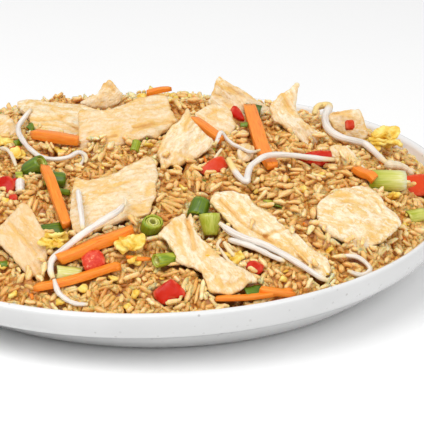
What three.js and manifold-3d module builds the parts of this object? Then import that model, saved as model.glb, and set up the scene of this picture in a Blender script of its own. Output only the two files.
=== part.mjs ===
// A plate of chicken fried rice: a round deep-rimmed plate, a heaped bed of rice, and the larger
// toppings that lie on it (chicken slices, carrot strips, bean sprouts, red pepper, spring onion, egg).
// Millimetres, +Z up, origin under the middle of the plate at table level, -Y towards the diner.
import * as THREE from 'three';
import { mergeVertices } from 'three/addons/utils/BufferGeometryUtils.js';
import Module from 'manifold-3d';

// ---------------------------------------------------------------- driving dimensions
const LIP_RADIUS = 140.2;          // middle of the rounded lip
const LIP_THICKNESS = 4;           // the lip is a half round of this width
const RIM_HEIGHT = 28.7;           // top of the lip, before the rise below
const RIM_RISE = 4.5;              // the rim climbs this much towards +X and drops as much towards -X
const RIM_BACK_DROP = 3;           // and is this much lower at +Y
const FOOT_RADIUS = 114;
const FOOT_WIDTH = 13;
const FOOT_RECESS = 3;
const FLOOR_HEIGHT = 7.2;          // inside floor of the plate
const WALL_OUTSIDE = [             // [radius, height] from the foot up to the lip
  [115.5, 1.2],
  [136.2, 15.8],                   // end of the sloping underside
  [139.4, 17.8],                   // crease below the upright wall
  [141.6, 21.5],
];
const WALL_INSIDE = [[136.4, 22], [131.5, 16.2], [122, 11], [107, 8]];   // from the lip down to the floor
const PLATE_SEGMENTS = 48;
const LIP_STEPS = 3;               // facets over the half round

const HEAP_RADIUS = 136;
const HEAP_EDGE = 24.5;            // height of the rice where it meets the rim
const HEAP_TOP = 57;               // height of the rice in the middle
const HEAP_FRONT_LEAN = 1;         // rice stands this much higher at the front edge than halfway back
const HEAP_BACK_DROP = 3.5;        // and is this much lower at the far edge
const HEAP_OUTLINE = 134.2;        // where the rice stops, short of the wall
const HEAP_CLEARANCE = 0.5;        // between the rice and the plate's floor
const HEAP_UNDERSIDE = [           // [radius, height above the middle of the underside]
  [60, 0.4],
  [106.5, 1],
  [121, 4],
  [131, 9.3],
  [132.8, 11.1],
];
const KNOLL_HEIGHT = 1;            // broad waves in the rice
const RIPPLE_HEIGHT = 0.7;         // narrow waves in the rice
const SURFACE_SINK = 0.9;          // the uneven surface lies this much below the even dome
const HEAP_RINGS = 8;
const HEAP_SEGMENTS = 48;

const GAP = 0.35;                  // kept between pieces that touch
const SLICE_SIDES = 11;
const SLICE_WAVE = 0.35;           // a slice's faces wave by this much
const DICE_SIDES = 7;
const DICE_THICKNESS = 4;
const STEM_SEGMENTS = 9;
const TUBE_STEPS = 10;
const SHOOT_SIDES = 6;
const STRIP_STEPS = 4;
const STRIP_CORNER = 0.72;         // a strip's flats reach this share of its half width
const STRIP_SLIMMING = 0.22;       // and its ends are this much thinner than its middle

const wasm = await Module();
wasm.setup();

// ---------------------------------------------------------------- solids from plain vertex rings
const deg = THREE.MathUtils.degToRad;

/** Closes a stack of equal rings into one body, with a point at each end or a flat fan. */
function bodyFromRings(rings, startPoint, endPoint) {
  const positions = [];
  const faces = [];
  const count = rings[0].length;
  rings.forEach((ring) => ring.forEach((p) => positions.push(p.x, p.y, p.z)));
  const start = positions.length / 3;
  positions.push(startPoint.x, startPoint.y, startPoint.z);
  positions.push(endPoint.x, endPoint.y, endPoint.z);
  const lastRing = (rings.length - 1) * count;
  for (let i = 0; i < count; i++) {
    const next = (i + 1) % count;
    faces.push(start, next, i);
    faces.push(start + 1, lastRing + i, lastRing + next);
    for (let r = 0; r < rings.length - 1; r++) {
      const low = r * count;
      const high = low + count;
      faces.push(low + i, low + next, high + next);
      faces.push(low + i, high + next, high + i);
    }
  }
  const geometry = new THREE.BufferGeometry();
  geometry.setAttribute('position', new THREE.Float32BufferAttribute(positions, 3));
  geometry.setIndex(faces);
  return geometry;
}

function toManifold(geometry) {
  const plain = geometry.clone();
  plain.deleteAttribute('normal');
  plain.deleteAttribute('uv');
  const merged = mergeVertices(plain, 1e-4);
  return new wasm.Manifold(new wasm.Mesh({
    numProp: 3,
    vertProperties: new Float32Array(merged.attributes.position.array),
    triVerts: new Uint32Array(merged.index.array),
  }));
}

function toGeometry(manifold) {
  const mesh = manifold.getMesh();
  const geometry = new THREE.BufferGeometry();
  geometry.setAttribute('position', new THREE.Float32BufferAttribute(mesh.vertProperties, 3));
  geometry.setIndex(new THREE.Uint32BufferAttribute(mesh.triVerts, 1));
  return geometry;
}

/** The largest single body of a solid: slivers left beyond a neighbour are dropped. */
function largestBody(manifold) {
  const bodies = manifold.decompose();
  return bodies.reduce((best, body) => (body.volume() > best.volume() ? body : best));
}

// ---------------------------------------------------------------- plate
/** How far the uneven rim lifts a point: nothing above the foot, all of it at the lip. */
function rimLift(x, y) {
  const reach = (Math.hypot(x, y) - FOOT_RADIUS) / (LIP_RADIUS - FOOT_RADIUS);
  const share = THREE.MathUtils.clamp(reach, 0, 1.05) ** 2;
  return share * (RIM_RISE * (x / LIP_RADIUS) - RIM_BACK_DROP * Math.max(y / LIP_RADIUS, 0) ** 2);
}

function plateProfile() {
  const lipRadius = LIP_THICKNESS / 2;
  const lipZ = RIM_HEIGHT - lipRadius;
  const profile = [
    [0, FOOT_RECESS],
    [FOOT_RADIUS - FOOT_WIDTH - 2, FOOT_RECESS],
    [FOOT_RADIUS - FOOT_WIDTH, 0],
    [FOOT_RADIUS - 1, 0],
    ...WALL_OUTSIDE,
  ];
  for (let step = 0; step <= LIP_STEPS; step++) {
    const angle = Math.PI * (step / LIP_STEPS);
    profile.push([LIP_RADIUS + lipRadius * Math.cos(angle), lipZ + lipRadius * Math.sin(angle)]);
  }
  profile.push(...WALL_INSIDE, [0, FLOOR_HEIGHT]);
  return profile.map(([radius, z]) => new THREE.Vector2(radius, z));
}

function makePlate() {
  const geometry = new THREE.LatheGeometry(plateProfile(), PLATE_SEGMENTS);
  geometry.rotateX(Math.PI / 2);
  const position = geometry.attributes.position;
  for (let i = 0; i < position.count; i++) {
    position.setZ(i, position.getZ(i) + rimLift(position.getX(i), position.getY(i)));
  }
  return toGeometry(toManifold(geometry));
}

// ---------------------------------------------------------------- rice heap
/** The even dome that the toppings are laid out on. */
function domeHeight(x, y) {
  const r = Math.min(Math.hypot(x, y) / HEAP_RADIUS, 1.2);
  const tilt = RIM_RISE * (x / LIP_RADIUS) - HEAP_FRONT_LEAN * (y / LIP_RADIUS);
  const drop = HEAP_BACK_DROP * (Math.max(y, 0) / HEAP_RADIUS) ** 2;
  return HEAP_EDGE + (HEAP_TOP - HEAP_EDGE) * (1 - r ** 3) + tilt * r * r - drop;
}

/** Hollows and knolls in the rice, nearly all below the even dome. */
function unevenness(x, y) {
  const broad = Math.sin(x / 11 + 1.3) * Math.cos(y / 13 - 0.7);
  const fine = Math.sin((x + y) / 8 + 0.4) * Math.cos((x - y) / 9.5);
  return KNOLL_HEIGHT * broad + RIPPLE_HEIGHT * fine - SURFACE_SINK;
}

function ringAt(radius, heightOf) {
  const ring = [];
  for (let i = 0; i < HEAP_SEGMENTS; i++) {
    const angle = 2 * Math.PI * (i / HEAP_SEGMENTS);
    const x = radius * Math.cos(angle);
    const y = radius * Math.sin(angle);
    ring.push(new THREE.Vector3(x, y, heightOf(x, y)));
  }
  return ring;
}

function makeHeap(raise = 0) {
  const floor = FLOOR_HEIGHT + HEAP_CLEARANCE;
  const underside = ([radius, rise]) => ringAt(radius, (x, y) => floor + rise + rimLift(x, y));
  const rings = HEAP_UNDERSIDE.map(underside);
  const surface = (x, y) => domeHeight(x, y) + unevenness(x, y) + raise;
  for (let k = HEAP_RINGS; k >= 1; k--) {
    const spread = k / HEAP_RINGS;
    const radius = HEAP_OUTLINE * (0.3 * spread + 0.7 * Math.sqrt(spread));
    rings.push(ringAt(radius, surface));
  }
  const bottom = new THREE.Vector3(0, 0, floor);
  const top = new THREE.Vector3(0, 0, surface(0, 0));
  return bodyFromRings(rings, bottom, top);
}

const heap = makeHeap();
const heapCutter = toManifold(makeHeap(GAP));

// ---------------------------------------------------------------- shapes of the toppings
/** Points of a closed outline through its corners, which it rounds off. */
function outline(corners, count) {
  const points = corners.map(([u, v]) => new THREE.Vector3(u, v, 0));
  if (THREE.ShapeUtils.isClockWise(points)) points.reverse();
  const curve = new THREE.CatmullRomCurve3(points, true, 'catmullrom', 0.35);
  return curve.getSpacedPoints(count).slice(0, count);
}

/**
 * A slice or a diced piece: an outline seen from above, a thickness, a domed top at z = 0,
 * and ends that hang down by `sag`. `grow` makes the larger copy that cuts its neighbours.
 */
function slab({ corners, thickness, dome = 0.6, sag = 0, sides = SLICE_SIDES }, grow = 0) {
  const edge = outline(corners, sides);
  const reach = Math.max(...edge.map((p) => p.length()));
  const levels = [                 // [share of the outline, height]
    [0.97, -thickness - grow],
    [1, -0.35 * thickness],
    [0.93, -0.05 * thickness + grow],
    [0.5, dome * 0.8 + grow],
  ];
  const place = (p, scale, z) => {
    const stretch = scale * (1 + grow / Math.max(p.length(), 2));
    const u = p.x * stretch;
    const v = p.y * stretch;
    const wave = SLICE_WAVE * Math.sin(u / 4 + thickness) * Math.cos(v / 5 - reach);
    return new THREE.Vector3(u, v, z + wave - sag * ((u * u + v * v) / (reach * reach)));
  };
  const rings = levels.map(([scale, z]) => edge.map((p) => place(p, scale, z)));
  const centre = new THREE.Vector3();
  return bodyFromRings(rings, place(centre, 0, -thickness - grow), place(centre, 0, dome + grow));
}

/** A short length of hollow stem lying along its own x axis. */
function stem({ radius, length, bore, taper = 1 }, grow = 0) {
  const half = length / 2 + grow;
  const outer = radius + grow;
  const inner = Math.max(bore - grow, 0.4);
  const profile = [
    new THREE.Vector2(inner, -half),
    new THREE.Vector2(outer, -half),
    new THREE.Vector2(outer * 1.03, 0),
    new THREE.Vector2(outer * taper, half),
    new THREE.Vector2(inner * taper, half),
    new THREE.Vector2(inner, -half),
  ];
  return new THREE.LatheGeometry(profile, STEM_SEGMENTS).rotateZ(-Math.PI / 2);
}

/** A lump of scrambled egg: a ball pushed in and out, then stretched. */
function curd({ size, seed }, grow = 0) {
  const geometry = new THREE.IcosahedronGeometry(1, 1);
  geometry.deleteAttribute('normal');
  geometry.deleteAttribute('uv');
  const merged = mergeVertices(geometry, 1e-4);
  const position = merged.attributes.position;
  const p = new THREE.Vector3();
  for (let i = 0; i < position.count; i++) {
    p.fromBufferAttribute(position, i);
    const lumps = 0.2 * Math.sin(5 * p.x + seed) * Math.cos(4 * p.y - seed);
    const folds = 0.1 * Math.sin(7 * p.z + 2 * seed);
    const swell = 1 + lumps + folds;
    position.setXYZ(i, ...size.map((s, k) => p.getComponent(k) * swell * (s / 2 + grow)));
  }
  return merged;
}

/** Turns a flat-lying shape: its top faces `facing`, leaning off the vertical by `lean`. */
function setOnHeap(geometry, { at: [x, y], lift, lean = 0, facing = -90, turn = 0, pitch = 0 }) {
  const leanAngle = deg(lean);
  const facingAngle = deg(facing);
  const normal = new THREE.Vector3(
    Math.sin(leanAngle) * Math.cos(facingAngle),
    Math.sin(leanAngle) * Math.sin(facingAngle),
    Math.cos(leanAngle),
  );
  const right = new THREE.Vector3(1, 0, 0).addScaledVector(normal, -normal.x).normalize();
  const away = new THREE.Vector3().crossVectors(normal, right);
  const frame = new THREE.Matrix4().makeBasis(right, away, normal);
  frame.setPosition(x, y, domeHeight(x, y) + lift);
  const spin = new THREE.Matrix4().makeRotationZ(deg(turn));
  const tip = new THREE.Matrix4().makeRotationY(deg(-pitch));
  return geometry.applyMatrix4(frame.multiply(spin).multiply(tip));
}

// ---------------------------------------------------------------- strips and sprouts
const placed = [];                 // pieces made so far, lowest first

/** Height of the highest piece made so far at a point, or of nothing. */
function heightBelow(x, y) {
  const ray = new THREE.Raycaster(new THREE.Vector3(x, y, 200), new THREE.Vector3(0, 0, -1));
  const hits = ray.intersectObjects(placed.map((piece) => piece.mesh), false);
  return hits.length ? hits[0].point.z : 0;
}

/** A smooth line through route points given as [x, y, height above the dome], resting on what it crosses. */
function routeOver(route, halfHeight, steps) {
  const points = route.map(([x, y, lift]) => new THREE.Vector3(x, y, domeHeight(x, y) + lift));
  const curve = new THREE.CatmullRomCurve3(points, false, 'centripetal');
  const line = curve.getSpacedPoints(steps);
  const needed = line.map((p) => Math.max(p.z, heightBelow(p.x, p.y) + halfHeight + GAP));
  const smooth = needed.map((z, i) => {
    const before = needed[Math.max(i - 1, 0)];
    const after = needed[Math.min(i + 1, needed.length - 1)];
    return Math.max(z, (before + z + after) / 3);
  });
  return line.map((p, i) => new THREE.Vector3(p.x, p.y, smooth[i]));
}

/** Sweeps a section, given as [side, up] points for each share of the length, along a line of points. */
function sweep(line, sectionAt) {
  const rings = line.map((p, i) => {
    const before = line[Math.max(i - 1, 0)];
    const after = line[Math.min(i + 1, line.length - 1)];
    const along = after.clone().sub(before).normalize();
    const side = new THREE.Vector3(0, 0, 1).cross(along).normalize();
    const up = along.clone().cross(side);
    return sectionAt(i / (line.length - 1)).map(
      ([a, b]) => p.clone().addScaledVector(side, a).addScaledVector(up, b),
    );
  });
  return bodyFromRings(rings, line[0], line[line.length - 1]);
}

/** A carrot strip: a bar with cut corners, thinner towards its ends. */
function strip({ line, width, height, twist = 0 }, grow = 0) {
  const w = width / 2 + grow;
  const h = height / 2 + grow;
  const flatWidth = w * STRIP_CORNER;
  const flatHeight = h * STRIP_CORNER;
  const section = [[w, -flatHeight], [w, flatHeight], [flatWidth, h], [-flatWidth, h]];
  section.push(...section.map(([a, b]) => [-a, -b]));
  const c = Math.cos(deg(twist));
  const s = Math.sin(deg(twist));
  return sweep(line, (t) => {
    const slim = 1 - STRIP_SLIMMING * (2 * t - 1) ** 2;
    return section.map(([a, b]) => [slim * (a * c - b * s), slim * (a * s + b * c)]);
  });
}

/** A bean sprout: a round shoot with a fuller head end and a thin tail. */
function shoot({ line, radius, tail = 0.6 }, grow = 0) {
  return sweep(line, (t) => {
    const neck = 0.72 + 0.28 * Math.sin(Math.PI * Math.min(1, 4 * t + 0.2) / 2);
    const around = radius * (1 - (1 - tail) * t * t) * neck + grow;
    const section = [];
    for (let i = 0; i < SHOOT_SIDES; i++) {
      const angle = 2 * Math.PI * (i / SHOOT_SIDES);
      section.push([around * Math.cos(angle), around * Math.sin(angle)]);
    }
    return section;
  });
}

// ---------------------------------------------------------------- materials
const MATERIALS = {
  plate: { color: 0xf2f2f0, roughness: 0.2 },
  rice: { color: 0xd8a661, roughness: 0.45 },
  chicken: { color: 0xf2d9ae, roughness: 0.5 },
  carrot: { color: 0xf58a2a, roughness: 0.4 },
  sprout: { color: 0xefe6da, roughness: 0.35 },
  pepper: { color: 0xd8392a, roughness: 0.25 },
  spring_onion: { color: 0x5d9a2f, roughness: 0.35 },
  egg: { color: 0xf4cf55, roughness: 0.5 },
};

const group = new THREE.Group();

function addMesh(name, kind, geometry) {
  geometry.computeVertexNormals();
  const mesh = new THREE.Mesh(geometry, new THREE.MeshStandardMaterial(MATERIALS[kind]));
  mesh.name = name;
  group.add(mesh);
  return mesh;
}

/** Adds a topping, cut back where it would run into the rice or into a piece laid before it. */
function addTopping(name, kind, shapeOf) {
  let solid = toManifold(shapeOf(0)).subtract(heapCutter);
  const box = new THREE.Box3().setFromBufferAttribute(toGeometry(solid).attributes.position);
  placed.forEach((piece) => {
    if (piece.box.intersectsBox(box)) solid = solid.subtract(piece.cutter);
  });
  const geometry = toGeometry(largestBody(solid));
  const cutter = toManifold(shapeOf(GAP));
  const cutterBox = new THREE.Box3().setFromBufferAttribute(toGeometry(cutter).attributes.position);
  placed.push({ mesh: addMesh(name, kind, geometry), cutter, box: cutterBox });
}

// ---------------------------------------------------------------- chicken slices
const CHICKEN = {
  back_left: {
    at: [-43, 4], lift: 5, lean: 14, facing: -90, thickness: 8, sag: 1,
    corners: [[-20, 13], [-4, 15], [10, 13], [19, 7], [13, -5], [11, -15], [-2, -14], [-13, -12], [-18, 0]],
  },
  back_long: {
    at: [-10, -12], lift: 8, lean: 28, facing: -80, thickness: 8, sag: 1,
    corners: [
      [-22, 0], [-11, 6], [1, 13], [19, 19], [22, 4],
      [15, -4], [4, -9], [-6, -15], [-14, -19], [-21, -18],
    ],
  },
  back_peak: {
    at: [-21, 19], lift: 12, lean: 70, facing: -90, thickness: 6,
    corners: [[-13, -7], [-4, 0], [1, 6], [5, 2], [11, -2], [8, -13], [-9, -13]],
  },
  middle_fold: {
    at: [18, -37], lift: 10, lean: 45, facing: -75, thickness: 9,
    corners: [[0, 17], [-7, 6], [-13, -4], [-13, -14], [-6, -17], [5, -11], [13, -4], [10, 2], [4, 9]],
  },
  back_right_peak: {
    at: [38, 24], lift: 10, lean: 60, facing: -80, thickness: 7,
    corners: [[-12, -8], [-10, 3], [-7, 9], [-2, 8], [8, 3], [18, -6], [16, -14], [-4, -15]],
  },
  back_right_flat: {
    at: [30, -6], lift: 6, lean: 35, facing: -80, thickness: 7,
    corners: [[-12, 2], [-5, 9], [4, 10], [10, 6], [10, -7], [3, -11], [-5, -7]],
  },
  right_curl: {
    at: [66, 2], lift: 7, lean: 58, facing: -70, thickness: 7,
    corners: [
      [3, 20], [-5, 15], [-10, 9], [-10, 1], [-5, -5], [0, -9],
      [7, -12], [19, -10], [20, -7], [13, -3], [8, 3], [5, 11],
    ],
  },
  far_right: {
    at: [92, 14], lift: 8, lean: 62, facing: -75, thickness: 7,
    corners: [[-9, 5], [-1, 6], [7, 7], [9, 2], [11, -5], [5, -9], [-5, -8]],
  },
  front_left: {
    at: [-50, -104], lift: 7, lean: 40, facing: -100, thickness: 8,
    corners: [
      [-19, 5], [-10, 11], [-4, 15], [2, 19], [8, 10],
      [12, 0], [12, -12], [4, -13], [-8, -3], [-18, -5],
    ],
  },
  middle_large: {
    at: [-13, -81], lift: 6, lean: 24, facing: -85, thickness: 7, sag: 1,
    corners: [
      [-16, 11], [-5, 11], [4, 18], [13, 26], [19, 16], [18, 3],
      [14, -6], [5, -10], [-4, -16], [-13, -17], [-17, -9],
    ],
  },
  front_fold: {
    at: [24, -111], lift: 7, lean: 38, facing: -82, thickness: 7, sag: 1,
    corners: [
      [-11, 15], [-4, 16], [-1, 8], [6, 0], [14, -5], [26, -11],
      [18, -17], [5, -17], [1, -9], [-8, -4], [-18, 6],
    ],
  },
  front_long: {
    at: [54, -91], lift: 5, lean: 34, facing: -75, thickness: 6, sag: 1,
    corners: [
      [-26, 12], [-22, 17], [-10, 16], [4, 4], [15, -4],
      [28, -14], [23, -20], [12, -13], [0, -6], [-12, -3],
    ],
  },
  right_oval: {
    at: [92, -75], lift: 7, lean: 36, facing: -62, thickness: 7, sag: 1,
    corners: [
      [-18, 5], [-9, 15], [4, 21], [13, 16], [22, 4],
      [15, -4], [6, -11], [-3, -16], [-8, -11], [-18, -6],
    ],
  },
  right_shred: {
    at: [92, -17], lift: 4, lean: 40, facing: -70, thickness: 5,
    corners: [[-9, 6], [-2, 6], [3, 2], [9, -5], [2, -6], [-5, -2]],
  },
  left_flat: {
    at: [-93, -38], lift: 6, lean: 26, facing: -150, thickness: 8, sag: 1,
    corners: [[-17, 4], [-9, 16], [6, 19], [16, 8], [15, -9], [3, -18], [-12, -13]],
  },
  left_long: {
    at: [-100, 28], lift: 5, lean: 26, facing: 160, turn: 50, thickness: 8, sag: 2,
    corners: [[-24, 3], [-12, 10], [8, 11], [24, 5], [22, -7], [2, -10], [-18, -9]],
  },
  rear_flat: {
    at: [-34, 80], lift: 1.2, lean: 17, facing: 105, turn: -15, thickness: 6, sag: 1.5,
    corners: [[-21, 2], [-14, 14], [4, 18], [19, 11], [21, -4], [8, -15], [-12, -14]],
  },
  rear_long: {
    at: [28, 108], lift: 2, lean: 26, facing: 75, turn: 15, thickness: 6, sag: 1.5,
    corners: [[-25, 5], [-10, 11], [12, 9], [25, 2], [20, -8], [-2, -9], [-22, -6]],
  },
  rear_right: {
    at: [88, 72], lift: 2.5, lean: 27, facing: 42, turn: 10, thickness: 6, sag: 1,
    corners: [[-14, 4], [-8, 17], [7, 18], [15, 5], [12, -12], [-2, -18], [-13, -10]],
  },
};
Object.entries(CHICKEN).forEach(([name, piece]) => {
  addTopping(`chicken_${name}`, 'chicken', (grow) => setOnHeap(slab(piece, grow), piece));
});

// ---------------------------------------------------------------- red pepper
const PEPPER = {
  left: {
    at: [-61, -62], lift: 3, lean: 40, facing: -110,
    corners: [[-6, 6], [5, 3], [4, -1], [-5, -7]],
  },
  front_left: {
    at: [-19, -114], lift: 4, lean: 50, facing: -100,
    corners: [[-5, 5], [4, 6], [6, -2], [2, -6], [-4, -5]],
  },
  front_diamond: {
    at: [13, -127], lift: 3.5, lean: 50, facing: -90,
    corners: [[-8, -1], [0, 7], [8, 0], [4, -5], [-2, -7]],
  },
  middle: {
    at: [30, -49], lift: 4, lean: 45, facing: -85,
    corners: [[-8, -4], [-1, 5], [4, 7], [8, 0], [5, -5], [-3, -7]],
  },
  back: {
    at: [41, 8], lift: 8, lean: 55, facing: -80,
    corners: [[-4, 2], [-1, 5], [4, -3], [2, -5], [-3, -2]],
  },
  right_long: {
    at: [77, -26], lift: 3, lean: 50, facing: -90,
    corners: [[-8, 3], [7, 4], [8, 0], [3, -4], [-7, -3]],
  },
  front_right: {
    at: [48, -112], lift: 3.5, lean: 45, facing: -80,
    corners: [[-5, 1], [-1, 4], [5, 2], [4, -4], [-1, -3]],
  },
  far_right: {
    at: [123, -18], lift: 3, lean: 45, facing: -60,
    corners: [[-6, 5], [6, 6], [7, -5], [0, -7], [-6, -5]],
  },
  rear: {
    at: [-64, 98], lift: 2, lean: 36, facing: 120,
    corners: [[-6, 4], [5, 6], [7, -3], [-2, -6]],
  },
};
Object.entries(PEPPER).forEach(([name, piece]) => {
  const shape = { ...piece, thickness: DICE_THICKNESS, dome: 0.5, sides: DICE_SIDES };
  addTopping(`red_pepper_${name}`, 'pepper', (grow) => setOnHeap(slab(shape, grow), piece));
});

// ---------------------------------------------------------------- spring onion
const SPRING_ONION = {
  left_dark: { at: [-49, -49], lift: 3, turn: -55, radius: 4, length: 9, bore: 2.4 },
  left_short: { at: [-39, -61], lift: 2.6, turn: -75, radius: 3.6, length: 8.5, bore: 2.2 },
  middle_ring: { at: [4.5, -96.5], lift: 3, turn: 60, pitch: 35, radius: 4.5, length: 6, bore: 1.8 },
  front_tube: { at: [12, -114], lift: 2.5, turn: 0, radius: 3.4, length: 12, bore: 1.6, taper: 0.7 },
  middle_dark: { at: [24, -83.5], lift: 3, turn: 20, radius: 4.2, length: 9, bore: 2.6 },
  middle_bulb: { at: [30, -94], lift: 4, turn: -70, pitch: 50, radius: 5.2, length: 8, bore: 0.8 },
  right_stem: { at: [108, -30], lift: 4, turn: 5, radius: 5.3, length: 17, bore: 1, taper: 0.9 },
  rear: { at: [-6, 116], lift: 1, lean: 25, facing: 90, turn: 40, radius: 4.5, length: 8, bore: 2.2 },
};
Object.entries(SPRING_ONION).forEach(([name, piece]) => {
  addTopping(`spring_onion_${name}`, 'spring_onion', (grow) => setOnHeap(stem(piece, grow), piece));
});

// ---------------------------------------------------------------- scrambled egg
const EGG = {
  front_left: { at: [-37, -104], lift: 3, lean: 30, facing: -110, turn: 45, size: [16, 8, 8], seed: 1 },
  front_middle: { at: [-4, -108], lift: 2.5, lean: 30, facing: -90, turn: 5, size: [13, 9, 7], seed: 2 },
  right: { at: [109, 14], lift: 3, lean: 30, facing: -50, turn: -38, size: [22, 9, 8], seed: 3 },
};
Object.entries(EGG).forEach(([name, piece]) => {
  addTopping(`egg_${name}`, 'egg', (grow) => setOnHeap(curd(piece, grow), piece));
});

// ---------------------------------------------------------------- carrot strips
const CARROT = {
  back_left: { route: [[-52, -19, 5], [-41, -25, 5], [-31, -30, 5]], width: 4.6, height: 4.2 },
  left: { route: [[-44, -55, 3], [-37, -77, 2.5], [-31, -96, 2]], width: 4.4, height: 3.4 },
  front_long: { route: [[-3, -99.5, 2.3], [-16, -107, 3.2], [-33, -114, 3]], width: 4.8, height: 4.2 },
  front_low: { route: [[-42, -123, 2], [-26, -122, 3], [-8, -116, 2]], width: 3.4, height: 3 },
  middle: { route: [[20, -11, 9], [26, -20, 8], [33, -30, 7]], width: 4.6, height: 3.2 },
  back_broad: { route: [[46, 20, 6], [49, -4, 4], [52, -27, 3], [56, -43, 1.5]], width: 6.4, height: 3.2 },
  front_rim: { route: [[32, -128, 2], [48, -125, 2.5], [63, -118, 2.2]], width: 3.6, height: 3.4 },
  right: { route: [[94, -28, 2.5], [98, -32, 2.4], [102, -36, 2]], width: 5, height: 3 },
  left_side: { route: [[-104, -2, 2.5], [-92, 8, 3], [-76, 12, 2.5]], width: 4.6, height: 3.6 },
  rear: { route: [[52, 108, 1.2], [66, 104, 1.6], [80, 100, 1.2]], width: 4.2, height: 3.4 },
};
Object.entries(CARROT).forEach(([name, piece]) => {
  const line = routeOver(piece.route, piece.height / 2, STRIP_STEPS);
  addTopping(`carrot_${name}`, 'carrot', (grow) => strip({ ...piece, line }, grow));
});

// ---------------------------------------------------------------- bean sprouts
const SPROUT = {
  back_ring: {
    route: [[-56, 9, 4], [-60, -5, 4], [-58, -18, 3], [-51, -32, 3], [-45, -41, 3], [-39, -44, 3],
      [-33, -41, 3], [-30, -39, 4], [-26, -43, 3.5], [-26, -48, 2]],
    radius: 1.5,
  },
  left_upright: { route: [[-28, -81, 9], [-26, -91, 9.5], [-25, -98, 9]], radius: 1.8 },
  front_long: {
    route: [[-8, -94, 11], [-13, -99, 10], [-18, -101, 8.5], [-23, -102, 6], [-29, -105, 4.5], [-35, -111, 4],
      [-37, -114, 4], [-35, -120, 3]],
    radius: 1.9, tail: 0.8,
  },
  front_root: { route: [[-33, -123, 2.2], [-28, -128, 2.2], [-19, -131, 2]], radius: 1.5 },
  right_thick: {
    route: [[37, -98, 3], [43, -99.5, 3.6], [51, -101, 3.8], [60, -104, 4], [69, -107, 3], [79, -109, 2]],
    radius: 1.9,
  },
  right_thin: { route: [[35, -101, 2.5], [44, -103, 2.5], [51, -106, 2.5], [57, -109, 2]], radius: 1.5 },
  middle_bend: {
    route: [[37, -45, 3], [40, -55, 3], [44, -61, 3], [44, -52, 4], [47, -44, 5], [51, -41, 7], [57, -36, 7],
      [64, -31, 6], [73, -28, 5], [85, -23, 4]],
    radius: 1.8, tail: 0.8,
  },
  middle_curl: {
    route: [[31, -36, 5], [31, -30, 6], [34, -27, 6], [39, -28, 5], [45, -33, 4], [49, -38, 4]],
    radius: 1.4,
  },
  right_loop: {
    route: [[78, 28, 8], [81, 30, 11], [84, 30, 11], [82, 17, 8], [83, 6, 6], [88, 1, 5],
      [94, 2, 5], [100, 5, 4], [105, 0, 3], [110, -9, 3]],
    radius: 1.9, tail: 0.75,
  },
};
Object.entries(SPROUT).forEach(([name, piece]) => {
  const steps = piece.route.length > 4 ? TUBE_STEPS : TUBE_STEPS / 2;
  const line = routeOver(piece.route, piece.radius, steps);
  addTopping(`bean_sprout_${name}`, 'sprout', (grow) => shoot({ ...piece, line }, grow));
});

addMesh('plate', 'plate', makePlate());
addMesh('rice_heap', 'rice', heap);

export default group;
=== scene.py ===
"""A plate of chicken fried rice: real rice grains over a core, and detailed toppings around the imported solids.

Lengths are in millimetres throughout and turn into metres where a mesh is made.
"""

import math

import bmesh
import bpy
import numpy as np
from mathutils import Matrix, Vector
from mathutils.bvhtree import BVHTree
from mathutils.geometry import delaunay_2d_cdt


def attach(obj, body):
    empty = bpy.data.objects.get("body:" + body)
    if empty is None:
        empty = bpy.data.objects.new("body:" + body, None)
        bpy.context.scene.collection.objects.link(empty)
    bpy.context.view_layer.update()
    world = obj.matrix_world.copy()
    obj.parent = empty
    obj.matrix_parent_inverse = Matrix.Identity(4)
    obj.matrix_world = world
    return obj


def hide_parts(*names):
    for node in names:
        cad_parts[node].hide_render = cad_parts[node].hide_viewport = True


MM = 0.001
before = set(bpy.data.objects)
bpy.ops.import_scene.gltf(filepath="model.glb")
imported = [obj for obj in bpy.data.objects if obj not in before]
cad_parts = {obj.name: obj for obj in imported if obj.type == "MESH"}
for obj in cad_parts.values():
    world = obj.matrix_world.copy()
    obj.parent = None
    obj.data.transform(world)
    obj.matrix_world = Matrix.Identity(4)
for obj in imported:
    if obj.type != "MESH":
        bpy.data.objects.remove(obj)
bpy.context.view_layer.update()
rng = np.random.default_rng(20)

# ------------------------------------------------------------------ sizes shared with the solids
LIP_RADIUS = 140.2
FOOT_RADIUS = 114.0
RIM_HEIGHT = 28.7
RIM_RISE = 4.5
RIM_BACK_DROP = 3.0
HEAP_RADIUS = 136.0
HEAP_EDGE = 24.5
HEAP_TOP = 57.0
HEAP_FRONT_LEAN = 1.0
HEAP_BACK_DROP = 3.5
GAP = 0.35  # between a strip or sprout and what it rests on
TALLEST = 76.4  # the highest tip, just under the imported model's box
BACK_X = (-100, -70, -60, -46, -34, -12, 2, 14, 30, 46, 52, 62, 66, 72, 80, 90)
BACK_DEPTH = (2.6, 3.6, 6.2, 5.8, 6.2, 5.4, 6.2, 5.6, 6.8, 5.0, 6.2, 4.5, 4.0, 7.0, 7.5, 3.0)


def rim_lift(x, y):
    """How much higher the dish stands to the right and lower at the back, growing towards the lip."""
    reach = (np.hypot(x, y) - FOOT_RADIUS) / (LIP_RADIUS - FOOT_RADIUS)
    share = np.clip(reach, 0, 1.05) ** 2
    return share * (RIM_RISE * x / LIP_RADIUS - RIM_BACK_DROP * np.maximum(y / LIP_RADIUS, 0) ** 2)


def dome_height(x, y):
    """The smooth shape of the heap."""
    r = np.minimum(np.hypot(x, y) / HEAP_RADIUS, 1.2)
    tilt = RIM_RISE * x / LIP_RADIUS - HEAP_FRONT_LEAN * y / LIP_RADIUS
    drop = HEAP_BACK_DROP * (np.maximum(y, 0) / HEAP_RADIUS) ** 2
    return HEAP_EDGE + (HEAP_TOP - HEAP_EDGE) * (1 - r**3) + tilt * r * r - drop


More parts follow.
